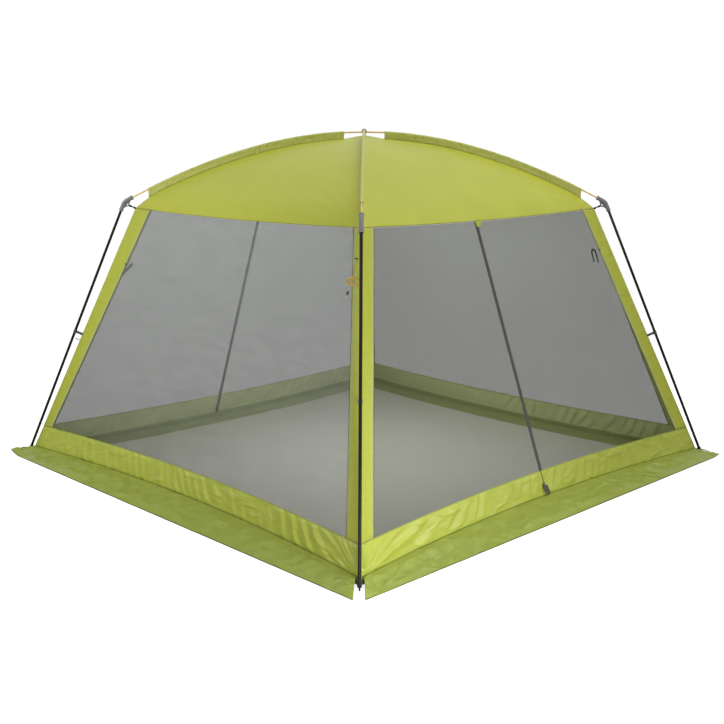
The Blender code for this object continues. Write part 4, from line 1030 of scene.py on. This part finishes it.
# %% [markdown]
# Inside, a narrower dark sheet with a finish of its own hangs from the foot of each band and lies on the
# ground. It is painted shade: it stands for the darker strip of shade below the far bands that shows
# through the nets. It is one grid that turns from falling to lying where it meets the ground.

# %% Painted shade inside the bands
SHADE_SHEET_LENGTH = 0.200
SHADE_SHEET_END_GAP = 0.030
SHADE_SHEET_TURN = 0.006

# Painted shade: a dark finish for the shade along the foot of the far bands.
painted_shade_cloth = cloth_finish("painted_shade_cloth", (0.330, 0.370, 0.130), crease=0.30)


def shade_sheet_place(across, up):
    share = 2 * across - 1
    down = (1 - up) * SHADE_SHEET_LENGTH
    fall = min(down, BAND_FOOT)
    lying = max(0.0, down - BAND_FOOT)
    along = share * (wall_half(0.0) - SHADE_SHEET_END_GAP - lying)
    turned = SHADE_SHEET_TURN * math.exp(-((down - BAND_FOOT) / 0.02) ** 2)
    height = BAND_FOOT - fall + 0.0012 + turned
    return Vector((along, -wall_distance(along, height) + 0.0022 + lying, height))


for k, side in enumerate(SIDES):
    cloth_piece(
        f"painted_shade_sheet_{side}", 240, 24, shade_sheet_place, painted_shade_cloth, None, (3.42, 0.21),
        wrinkle=lambda a, u, p: -0.006 * max(0.0, rumple(p.x, p.y, 6.0, 60.0)) * inside(u, 0.2),
        turn=WALL_TURNS[k])

# %% [markdown]
# ## Doors
#
# The front and back walls open along a zip.
#
# The tapes come first. They lie behind the band's edge, and on the net above it.

# %% Zip tapes
TAPE_WIDTH = 0.010
TAPE_LAP = 0.0040
TAPE_DEPTH = 0.0030
CHAIN_GAP = 0.0010
HANDS = {-1: "left", 1: "right"}

zip_cloth = cloth_finish("zip_cloth", (0.085, 0.088, 0.080), roughness=0.8, crease=0.1)


def tape_place(left, right):
    on_wall = wall_place(left, right, BAND_FOOT, None)

    def place(share, up):
        point = on_wall(share, up)
        return point + Vector((0.0, TAPE_DEPTH if point.z < BAND_TOP else 0.0, 0.0))
    return place


def zip_tape(k, side, hand, half):
    edges = (door_line(side, hand * CHAIN_GAP / 2), door_line(side, hand * (TAPE_WIDTH + TAPE_LAP)))
    cloth_piece(f"zip_tape_cloth_{half}", 4, 120, tape_place(*edges[::hand]), zip_cloth,
                f"zip_tape_{half}", (0.0135, 1.80), wrinkle=lambda a, u, p: 0.0004,
                body=f"door_{half}", turn=WALL_TURNS[k], thickness=2 * CLOTH)


# %% [markdown]
# Each half of a door is a net and a band.

# %% Door halves
BAND_SLIT = 0.0030
BLEND_START = 0.16


def door_sheets(k, side, hand, half):
    cloth_line = door_line(side, hand * (TAPE_WIDTH + SEAM_GAP))
    net_edges = (cloth_line, strip_edge(side, hand))[::hand]
    band_edges = (door_line(side, hand * BAND_SLIT), band_edge(hand))[::hand]
    net = cloth_piece(
        f"door_net_cloth_{half}", 44, 50, wall_place(*net_edges, BAND_TOP + SEAM_GAP, None), door_net_painted_shade,
        f"door_net_{half}", (1.72, 1.70), wrinkle=net_wrinkle(40.0 + k + hand), body=None,
        turn=WALL_TURNS[k])
    band = cloth_piece(
        f"door_band_cloth_{half}", 240, BAND_ROWS, band_place(*band_edges), band_cloth,
        f"door_band_{half}", (1.88, 0.168), body=None, turn=WALL_TURNS[k], inner=inner_painted_light,
        wrinkle=band_wrinkle(50.0 + k, *BAND_PULLS[side], zip_end=0.5 - 0.5 * hand),
        hems=[(band_seam, on_band_seam)])
    return net, band


for k, side in DOOR_WALLS:
    for hand, name in HANDS.items():
        half = f"{side}_{name}"
        corner = front_point(hand * (wall_half(EAVE_HEIGHT) - BLEND_START), EAVE_HEIGHT)
        for piece in door_sheets(k, side, hand, half):
            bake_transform(piece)
        zip_tape(k, side, hand, half)

# %% [markdown]
# ## Small fittings
#
# Clips, rings, toggles and sliders are small hard parts. Each starts as a primitive at its size and
# place, gets round edges from a bevel and is joined with its neighbours. The helpers below do what a hand
# would do at the screen. At the end the place goes into the mesh, so that the object stands unturned at
# the origin as the model's own pieces do.

# %% Helpers for hard parts
def apply_modifiers(piece):
    nothing_selected()
    piece.select_set(True)
    bpy.context.view_layer.objects.active = piece
    for modifier in list(piece.modifiers):
        bpy.ops.object.modifier_apply(modifier=modifier.name)


def rounded(piece, width, segments=3):
    """The piece with its modifiers applied, and round edges as the last of them."""
    edge = piece.modifiers.new("edge", "BEVEL")
    edge.width = width
    edge.segments = segments
    apply_modifiers(piece)
    return piece


def block(size, place, rounding):
    """A block with round edges."""
    nothing_selected()
    bpy.ops.mesh.primitive_cube_add(size=1.0, location=place, scale=size)
    bpy.ops.object.transform_apply(location=True, rotation=True, scale=True)
    return rounded(bpy.context.object, rounding)


def wire_ring(radius, wire, place, turn, around=28, section=8):
    nothing_selected()
    bpy.ops.mesh.primitive_torus_add(
        major_radius=radius, minor_radius=wire, major_segments=around, minor_segments=section,
        location=place, rotation=turn)
    return bpy.context.object


def merged(pieces):
    """One object from several. The first takes in the others."""
    nothing_selected()
    for piece in pieces:
        piece.select_set(True)
    bpy.context.view_layer.objects.active = pieces[0]
    bpy.ops.object.join()
    return pieces[0]


def joined(pieces, angle=35):
    """One object from several, smooth where its faces meet at less than an angle."""
    whole = merged(pieces)
    bpy.ops.object.shade_smooth_by_angle(angle=math.radians(angle))
    return whole


def place_piece(piece, name, matrix, material, body="shelter"):
    """Names a modelled piece, moves its mesh to its place and gives it its finish."""
    piece.name = name
    piece.data.transform(matrix @ piece.matrix_world)
    piece.matrix_world = Matrix()
    piece.data.materials.clear()
    piece.data.materials.append(material)
    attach(piece, body)
    print(name, "has", len(piece.data.polygons), "faces")
    return piece


# %% [markdown]
# A clip joins each corner seam to its leg, a third of the way up. It is an open ring that snaps round the
# leg, on a grooved arm. The ring could be bent from a bar, but it is quicker to open a tube: the faces on
# the outer side are deleted, and solidify gives the rest its wall. One clip is modelled and copied.

# %% Leg clips
LEG_DIRECTION = (Vector((BEND_REACH, 0.0, BEND_HEIGHT)) - Vector((FOOT_REACH, 0.0, 0.0))).normalized()
LEG_LEAN = math.atan2(-LEG_DIRECTION.x, LEG_DIRECTION.z)
CLIP_HEIGHT = 0.900
CLIP_RISE = 0.010
CLIP_WALL = 0.0032
CLIP_MOUTH = 0.0108
GROOVE_SHARES = (0.25, 0.55, 0.85)


def clip_ring():
    """A tube round the leg that is open on the outer side."""
    nothing_selected()
    bpy.ops.mesh.primitive_cylinder_add(
        vertices=40, radius=LEG_RADIUS + FIT + CLIP_WALL, depth=0.024, end_fill_type="NOTHING")
    ring = bpy.context.object
    bpy.ops.object.mode_set(mode="EDIT")
    bpy.ops.mesh.select_all(action="DESELECT")
    shape = bmesh.from_edit_mesh(ring.data)
    for face in shape.faces:
        face.select = face.calc_center_median().x > CLIP_MOUTH
    bmesh.update_edit_mesh(ring.data)
    bpy.ops.mesh.delete(type="FACE")
    bpy.ops.object.mode_set(mode="OBJECT")
    wall = ring.modifiers.new("wall", "SOLIDIFY")
    wall.thickness = CLIP_WALL
    wall.offset = -1.0
    return rounded(ring, 0.0008, 2)


def leg_clip():
    """The ring and an arm that reaches the corner seam, square to the leg."""
    reach = FOOT_REACH + (BEND_REACH - FOOT_REACH) * CLIP_HEIGHT / BEND_HEIGHT
    seam = wall_half(CLIP_HEIGHT) * ROOT2 - 0.001
    start = -LEG_RADIUS - 0.0028
    end = (seam - reach) / math.cos(LEG_LEAN)
    arm = block((start - end, 0.0080, 0.0165), ((start + end) / 2, 0.0, 0.0), 0.0025)
    grooves = [block((0.0060, 0.0096, 0.0190), (between(start, end, share), 0.0, 0.0), 0.0020)
               for share in GROOVE_SHARES]
    whole = joined([clip_ring(), arm] + grooves)
    whole.data.transform(
        Matrix.Translation((reach, 0.0, CLIP_HEIGHT)) @ Matrix.Rotation(-LEG_LEAN, 4, "Y")
        @ Matrix.Translation((0.0, 0.0, CLIP_RISE)))
    return whole


def copied(piece):
    twin = piece.copy()
    twin.data = piece.data.copy()
    bpy.context.scene.collection.objects.link(twin)
    return twin


clip = leg_clip()
for number, corner in enumerate(CORNERS):
    place_piece(copied(clip), f"leg_clip_{corner}", CORNER_TURNS[number], clip_plastic)
bpy.data.objects.remove(clip)

# %% [markdown]
# Below the clip at the back left corner, the seam has a small loop of cord, to peg the shelter in wind.
# Half a turn of a flattened circle is enough for it, with both ends in the seam.

# %% Seam loop
LOOP_HEIGHT = CLIP_HEIGHT - 0.055
LOOP_SIZE = Vector((0.030, 0.009, 0.014))


def seam_loop_point(share):
    angle = math.pi * share
    start = Vector((wall_half(LOOP_HEIGHT) * ROOT2 + 0.0015, 0.0, LOOP_HEIGHT))
    way = Vector((math.sin(angle) ** 0.8, math.cos(angle), math.sin(angle)))
    return CORNER_TURNS[3] @ (start + way * LOOP_SIZE)


seam_loop = cord_piece("seam_loop", [seam_loop_point(k / 24) for k in range(25)], 0.0014, black_cord)
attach(seam_loop, "shelter")

# %% [markdown]
# The elbow's eyelet holds an elastic cord that ends in a knot on the roof's corner. A tied knot is hard
# to model and is a few millimetres across, so a short coil round the cord stands for it at either end.
#
# The eyelet's place follows from the elbow: one arm goes down the leg, the other up the roof pole, and
# the eyelet is in the web between them.

# %% Eyelets
ELBOW_ARM = 0.066
EYELET_DISTANCE = 0.032
EYELET_RADIUS = 0.0065


def pole_mouth():
    reach = BEND_REACH
    while math.hypot(BEND_REACH - reach, pole_height(reach) - BEND_HEIGHT) < ELBOW_ARM:
        reach -= 0.0001
    return Vector((reach, 0.0, pole_height(reach)))


BEND_POINT = Vector((BEND_REACH, 0.0, BEND_HEIGHT))
ARM_DIRECTION = (pole_mouth() - BEND_POINT).normalized()
EYELET_POINT = BEND_POINT + (ARM_DIRECTION - LEG_DIRECTION).normalized() * EYELET_DISTANCE
print("eyelets at", [round(c, 3) for c in EYELET_POINT])

# %% Eave hooks
HOOK_CORD = 0.0036
KNOT_CORD = 0.0020
KNOT_TURNS = 4


def knot_points(middle, turn):
    """A short coil, a little thicker at its middle."""
    for k in range(60):
        share = k / 59
        angle = 2 * math.pi * KNOT_TURNS * share
        radius = 0.0052 + 0.0010 * math.sin(math.pi * share)
        yield turn @ (middle + Vector((
            radius * math.cos(angle), between(-0.0055, 0.0055, share), radius * math.sin(angle))))


def eave_hook(corner, turn):
    seam = Vector((EAVE_HALF * ROOT2, 0.0, EAVE_HEIGHT))
    outward = (EYELET_POINT - seam).normalized()
    bar = EYELET_POINT - outward * (EYELET_RADIUS - 0.0020 - FIT)
    knot = seam + outward * 0.0056
    side = Vector((0.0, 0.0100, 0.0))
    loop = []
    for k in range(40):
        angle = 2 * math.pi * k / 40
        share = 0.5 - 0.5 * math.cos(angle)
        width = math.sin(angle) * (0.55 + 0.45 * share ** 0.5)
        loop.append(turn @ (between(knot, bar, share ** 0.8) + side * width))
    cord = cord_piece(f"eave_hook_loop_{corner}", loop, HOOK_CORD, black_cord, closed=True)
    ends = (("roof", knot), ("elbow", bar - outward * 0.017))
    knots = [cord_piece(f"eave_knot_{end}_{corner}", list(knot_points(middle, turn)), KNOT_CORD,
                        black_cord) for end, middle in ends]
    for piece in [cord] + knots:
        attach(piece, "shelter")
    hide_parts(f"eave_hook_{corner}")


for number, corner in enumerate(CORNERS):
    eave_hook(corner, CORNER_TURNS[number])

# %% [markdown]
# At the crown, two rings over the upper pole carry a strap that draws the roof up to the crossing. Rings
# and strap are joined into one object, because they stand for one node of the model.

# %% Crown tie
STRAP_SIZE = (0.030, 0.004)
RING_RADIUS, RING_WIRE = 0.0140, 0.0028
RING_SPACING = 0.0110
QUARTER = math.radians(90)


def crown_tie():
    hang = pole_point(0.0, 1.0).z + POLE_RADIUS + FIT - 0.0110
    rings = [wire_ring(RING_RADIUS, RING_WIRE, (side * RING_SPACING, 0.0, hang), (0.0, QUARTER, 0.0),
                       around=40, section=14) for side in (-1, 1)]
    top, foot = hang - 0.0135, roof_height(0.0) + SEAM_GAP
    nothing_selected()
    bpy.ops.mesh.primitive_cube_add(
        size=1.0, location=(0.0, 0.0, (top + foot) / 2), scale=(*STRAP_SIZE, top - foot))
    tie = merged([rounded(bpy.context.object, 0.0012)] + rings)
    bpy.ops.object.transform_apply(location=True, rotation=True, scale=True)
    bpy.ops.object.shade_smooth_by_angle(angle=math.radians(40))
    return tie


tie = place_piece(crown_tie(), "crown_tie", CORNER_TURNS[0], ring_plastic)
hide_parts("apex_tie")

# %% [markdown]
# Toggles hold a rolled-up wall: a barrel on an elastic loop, on the inner edge of the strips. The one at
# the front left corner carries the guy rope. Each is made for the wall on the left of its corner, seen
# from outside. For the wall on the right, a matrix that swaps two axes mirrors it. That turns its faces
# inside out, so their normals are flipped back.

# %% Toggles
BARREL_RADIUS, BARREL_LENGTH = 0.0035, 0.020
BARREL_OUT = 0.0078
SWAP_XY = Matrix(((0, 1, 0, 0), (1, 0, 0, 0), (0, 0, 1, 0), (0, 0, 0, 1)))


def toggle(name, corner, hand, along, height, shift):
    """A round-edged barrel on a short loop. hand 1 is the wall on the left, seen from outside."""
    distance = wall_distance(along, height)
    nothing_selected()
    bpy.ops.mesh.primitive_cylinder_add(
        vertices=20, radius=BARREL_RADIUS, depth=BARREL_LENGTH,
        location=(distance + BARREL_OUT, along - shift, height), rotation=(QUARTER, 0.0, 0.0))
    barrel = rounded(bpy.context.object, 0.0010)
    bpy.ops.object.transform_apply(location=True, rotation=True, scale=True)
    loop = []
    for k in range(24):
        angle = 2 * math.pi * k / 24
        loop.append((distance + 0.0058 + 0.0050 * math.cos(angle), along + 0.00096 * math.sin(angle),
                     height + 0.0032 * math.sin(angle)))
    cord = cord_piece(f"{name}_cord", loop, 0.0007, black_cord, closed=True, resolution=2)
    whole = joined([barrel, cord], angle=40)
    if hand < 0:
        whole.data.transform(SWAP_XY)
        whole.data.flip_normals()
    place_piece(whole, name, CORNER_TURNS[corner] @ CORNER_BACK, black_plastic)


for corner in (0, 2):
    toggle(f"toggle_{CORNERS[corner]}", corner, 1, wall_half(ROPE_TOGGLE_HEIGHT) - ROPE_TOGGLE_IN,
           ROPE_TOGGLE_HEIGHT, 0.0)
for corner in (1, 3):
    for hand, kind, height in ((1, "door", EAVE_HEIGHT - 0.278), (-1, "plain", EAVE_HEIGHT - 0.381)):
        side = SIDES[corner - 1] if hand > 0 else SIDES[corner]
        toggle(f"toggle_{CORNERS[corner]}_{kind}", corner, hand,
               wall_half(height) - strip_width(side, hand, height) + 0.004, height, 0.006)

# %% [markdown]
# A toggle has its loop of black tape on the inner side of the net. It goes round the rolled-up wall and
# over the toggle. Here it hangs free, and shows through the net as a grey shadow. A tape is flat, so it
# is a narrow sheet that follows a way of points, and not a cord.

# %% Tie loops
LOOP_TAPE = 0.015
LOOP_STEP = 0.003
LOOP_BEHIND, LOOP_SAG = 0.0060, 0.0040


def loop_way(start, angle, length, gap, back):
    """Points in the wall's plane: out along an angle, round, and part of the way back."""
    ahead = Vector((math.cos(angle), math.sin(angle)))
    aside = Vector((-ahead.y, ahead.x)) * gap
    turn = [start + ahead * (length + gap / 2 * math.sin(math.pi * k / 8))
            + aside * (0.5 - 0.5 * math.cos(math.pi * k / 8)) for k in range(9)]
    last = start + aside + ahead * (length - back)
    return even_path([(*p, 0.0) for p in [start] + turn + [last]], LOOP_STEP)


def tie_loop(name, k, way):
    """A flat tape along a way, just inside the wall."""
    last = len(way) - 1

    def place(across, up):
        here = min(last, round(up * last))
        ahead = way[min(last, here + 1)] - way[max(0, here - 1)]
        ahead /= np.linalg.norm(ahead)
        along = float(way[here][0] - ahead[1] * (across - 0.5) * LOOP_TAPE)
        height = float(way[here][1] + ahead[0] * (across - 0.5) * LOOP_TAPE)
        return front_point(along, height, -LOOP_BEHIND - LOOP_SAG * math.sin(math.pi * up))
    cloth_piece(name, 2, last, place, seam_cloth, None, (LOOP_TAPE, LOOP_STEP * last),
                turn=WALL_TURNS[k])


for k, hand, drop, inwards, *shape in (
        (0, 1, 0.365, 0.058, 1.60, 0.068, 0.046, 0.058),
        (3, -1, 0.462, 0.000, 0.72, 0.110, 0.014, 0.085)):
    height = EAVE_HEIGHT - drop
    edge = hand * (wall_half(height) - strip_width(SIDES[k], hand, height) - inwards)
    tie_loop(f"tie_loop_{SIDES[k]}", k, loop_way(Vector((edge, height)), *shape))

# %% [markdown]
# ## Zips
#
# A zip slider is two plates that wrap both tapes, a post between them, a bail on the front and a pull.
# The pulls of this shelter are large ribbed grips, so that they can be found in the dark. Slider and pull
# are modelled upright at the origin, where sizes are easy to read, and a matrix lays them on the zip.

# %% Zip sliders
SLIDER_HEIGHTS = {"lower": (0.104, 1), "upper": (0.1206, -1)}
SLIDER_SIZE = (0.012, 0.0015, 0.016)
SLIDER_FRONT, SLIDER_BACK = -0.00155, 0.00305
POST_SIZE = (0.0014, SLIDER_BACK - SLIDER_FRONT, 0.012)
PULL_SIZE = (0.0225, 0.0045, 0.058)
PULL_LEAN = math.radians(12)


def zip_frame(side, height):
    """A place on the zip: X runs across it, Z up along it and Y inwards."""
    line = door_line(side)
    low, high = (front_point(line(h), h) for h in (BAND_TOP, EAVE_HEIGHT - 0.1))
    up = (high - low).normalized()
    inward = up.cross(Vector((1.0, 0.0, 0.0))).normalized()
    return axes_matrix(inward.cross(up).normalized(), inward, up, front_point(line(height), height))


def slider_body(hand):
    plates = [block(SLIDER_SIZE, (0.0, y, 0.0), 0.0006) for y in (SLIDER_FRONT, SLIDER_BACK)]
    post = block(POST_SIZE, (0.0, (SLIDER_FRONT + SLIDER_BACK) / 2, 0.0), 0.0003)
    bail = wire_ring(0.0042, 0.0008, (hand * 0.004, SLIDER_FRONT - 0.0006, 0.0), (0.0, QUARTER, 0.0))
    return joined(plates + [post, bail])


def slider_pull(hand):
    """A grip with five ribs on each face, and the ring that joins it to the bail."""
    wide, thick, tall = PULL_SIZE
    grip = block(PULL_SIZE, (0.0, 0.0, -tall / 2), 0.0018)
    ribs = [block((wide * 0.80, thick + 0.0014, 0.0030), (0.0, 0.0, -tall * (0.25 + 0.14 * k)), 0.0007)
            for k in range(5)]
    link = wire_ring(0.0050, 0.0009, (-hand * 0.006, -0.0005, 0.001), (QUARTER, 0.0, 0.0))
    pull = joined([grip] + ribs + [link])
    pull.data.transform(Matrix.Translation((hand * 0.0124, SLIDER_FRONT - 0.0015, 0.0))
                        @ Matrix.Rotation(-PULL_LEAN, 4, "X"))
    return pull


for k, side in DOOR_WALLS:
    for level, (height, hand) in SLIDER_HEIGHTS.items():
        body = f"door_{side}_left" if level == "lower" else f"zip_slider_{side}"
        place = WALL_TURNS[k] @ zip_frame(side, height)
        slider = place_piece(slider_body(hand), f"zip_slider_body_{side}_{level}", place, zip_metal,
                             body)
        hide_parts(f"zip_slider_{side}_{level}")
        place_piece(slider_pull(hand), f"zip_slider_pull_{side}_{level}", place, pull_rubber,
                    body)

# %% [markdown]
# The zip's teeth are turns of a nylon coil, sewn to the edge of each tape. One turn is modelled, an
# array repeats it, and the row is then laid along the zip's line. The two rows are half a turn apart. A
# turn has only six sides, because there are hundreds of them.

# %% Zip teeth
TOOTH_PITCH = 0.0040
TOOTH_RADIUS, TOOTH_LENGTH = 0.00055, 0.0034


def zip_teeth(side, hand):
    line, start = door_line(side), BAND_FOOT + 0.004 + (TOOTH_PITCH / 2 if hand > 0 else 0.0)
    nothing_selected()
    bpy.ops.mesh.primitive_cylinder_add(
        vertices=6, radius=TOOTH_RADIUS, depth=TOOTH_LENGTH,
        location=(hand * 0.0013, -0.0002, start), rotation=(0.0, QUARTER, 0.0))
    bpy.ops.object.transform_apply(location=True, rotation=True, scale=True)
    row = bpy.context.object
    repeat = row.modifiers.new("repeat", "ARRAY")
    repeat.use_relative_offset = False
    repeat.use_constant_offset = True
    repeat.constant_offset_displace = (0.0, 0.0, TOOTH_PITCH)
    repeat.count = int((EAVE_HEIGHT - 0.030 - start) / TOOTH_PITCH)
    apply_modifiers(row)
    for vertex in row.data.vertices:
        x, y, height = vertex.co
        behind = TAPE_DEPTH if height < BAND_TOP else 0.0
        vertex.co = front_point(line(height) + x, height, -y - behind)
    return row


for k, side in DOOR_WALLS:
    for hand, name in HANDS.items():
        half = f"{side}_{name}"
        place_piece(zip_teeth(side, hand), f"zip_teeth_{half}", WALL_TURNS[k], zip_metal,
                    f"door_{half}")

# %% [markdown]
# Where the zip meets the eave, a small flap of roof cloth covers its end. It is a tiny sheet that
# narrows downwards, and it bulges a little so that it stands clear of the coil.

# %% Zip flaps
FLAP_DROP = 0.036
FLAP_LEFT, FLAP_RIGHT = -0.012, 0.056


def zip_flap_place(side):
    line = door_line(side)
    top = eave_height(line(EAVE_HEIGHT))

    def place(across, up):
        height = top - FLAP_DROP * (1 - up)
        along = line(height) + between(FLAP_LEFT, FLAP_RIGHT, across) * up ** 0.5
        return front_point(along, height, 0.0045 + 0.004 * math.sin(math.pi * across) * up)
    return place


for k, side in DOOR_WALLS:
    cloth_piece(f"zip_flap_{side}", 10, 10, zip_flap_place(side), roof_cloth, None, (0.056, 0.056),
                turn=WALL_TURNS[k])

# %% [markdown]
# ## Frame finishes
#
# The legs, elbows, feet, poles and runner keep the model's own meshes, which are round and true already.
# Only their material slots change.

# %% Finishes for the kept nodes
KEPT = (("leg_", leg_steel), ("elbow_", elbow_plastic), ("foot_", black_plastic),
        ("roof_pole_", pole_fibreglass), ("rope_runner", black_plastic))
for start, material in KEPT:
    kept = [obj for name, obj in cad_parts.items() if name.startswith(start)]
    for slot in (slot for obj in kept for slot in obj.material_slots):
        slot.material = material
    print(material.name, "on", len(kept), "pieces")

# %% [markdown]
# ## Floor and light
#
# The shelter stands on a white studio floor. A lamp bright enough to whiten it would bleach the cloth, so
# the floor glows for the camera alone. Inside, under the roof, a second sheet of floor is duller and a
# little glossy: there the walls' bands are mirrored in it as a darker edge.

# %% Floor
def floor_piece(name, size, height, colour, roughness, gloss, glow):
    """A square of floor that adds a glow for the camera to its own light."""
    nothing_selected()
    bpy.ops.mesh.primitive_plane_add(size=size, location=(0.0, 0.0, height))
    floor = bpy.context.object
    floor.name = name
    material, shader = new_finish(name, colour, roughness)
    shader.inputs["Specular IOR Level"].default_value = gloss
    shader.inputs["Emission Color"].default_value = (1.0, 1.0, 1.0, 1.0)
    camera_ray = node(material, "ShaderNodeLightPath").outputs["Is Camera Ray"]
    level = node(material, "ShaderNodeMath", {0: camera_ray, 1: glow}, operation="MULTIPLY").outputs[0]
    material.node_tree.links.new(level, shader.inputs["Emission Strength"])
    floor.data.materials.append(material)
    print(name, "is", round(size, 2), "m wide")


floor_piece("floor", 80.0, -0.001, (0.62, 0.62, 0.61), 0.9, 0.0, 0.86)
floor_piece("floor_inside", 2 * WALL_GROUND_HALF - 0.10, 0.0, (0.74, 0.74, 0.68), 0.30, 0.5, 0.0)

# %% [markdown]
# The sky lights the cloth evenly from all sides. To the camera, in mirrors and through the nets it is
# white, and to all else it is much darker, because it would drown the lamps.

# %% Sky
SKY_LIGHT = 0.285

scene = bpy.context.scene
world = bpy.data.worlds.new("studio")
scene.world = world
world.use_nodes = True
rays = node(world, "ShaderNodeLightPath").outputs
seen = node(world, "ShaderNodeMath", {0: rays["Is Camera Ray"], 1: rays["Is Glossy Ray"]},
            operation="MAXIMUM").outputs[0]
through = node(world, "ShaderNodeMath", {0: seen, 1: rays["Is Transmission Ray"]},
               operation="MAXIMUM").outputs[0]
level = node(world, "ShaderNodeMapRange", {"Value": through, "To Min": SKY_LIGHT, "To Max": 1.0})
background = world.node_tree.nodes["Background"]
background.inputs["Color"].default_value = (1.0, 1.0, 1.0, 1.0)
world.node_tree.links.new(level.outputs["Result"], background.inputs["Strength"])
print("sky light:", SKY_LIGHT)

# %% [markdown]
# A wide lamp above brightens the roof. Three soft lamps outside stand for the studio's boxes: one close
# to the front left corner, which is the brightest part of the picture, a narrow weak one that gives the
# folds there their sheen, and one beside the left wall. A wide lamp under the roof gives the light that
# real tent cloth, being thin, lets through.

# %% Lamps
def soft_lamp(name, place, target, size, power, spread=180):
    lamp = bpy.data.objects.new(name, bpy.data.lights.new(name, "AREA"))
    lamp.data.shape = "SQUARE"
    lamp.data.size = size
    lamp.data.energy = power
    lamp.data.spread = math.radians(spread)
    lamp.location = place
    lamp.rotation_euler = (Vector(target) - Vector(place)).to_track_quat("-Z", "Y").to_euler()
    lamp.visible_camera = False
    scene.collection.objects.link(lamp)
    print(name, power, "W")


soft_lamp("top_lamp", (1.0, -2.6, 6.1), (0.0, -0.7, 2.0), 5.0, 162.0)
soft_lamp("corner_lamp", (-2.3, -3.7, 0.9), (-1.5, -1.7, 0.15), 0.9, 29.0)
soft_lamp("sheen_lamp", (1.6, -4.5, 0.95), (-1.3, -1.8, 0.15), 0.8, 4.5, spread=60)
soft_lamp("side_lamp", (-3.8, 1.1, 2.5), (-1.2, 0.6, 1.4), 1.4, 42.0)
soft_lamp("roof_glow", (0.0, 0.0, 1.75), (0.0, 0.0, 0.0), 1.7, 33.0)
scene.view_settings.view_transform = "Standard"
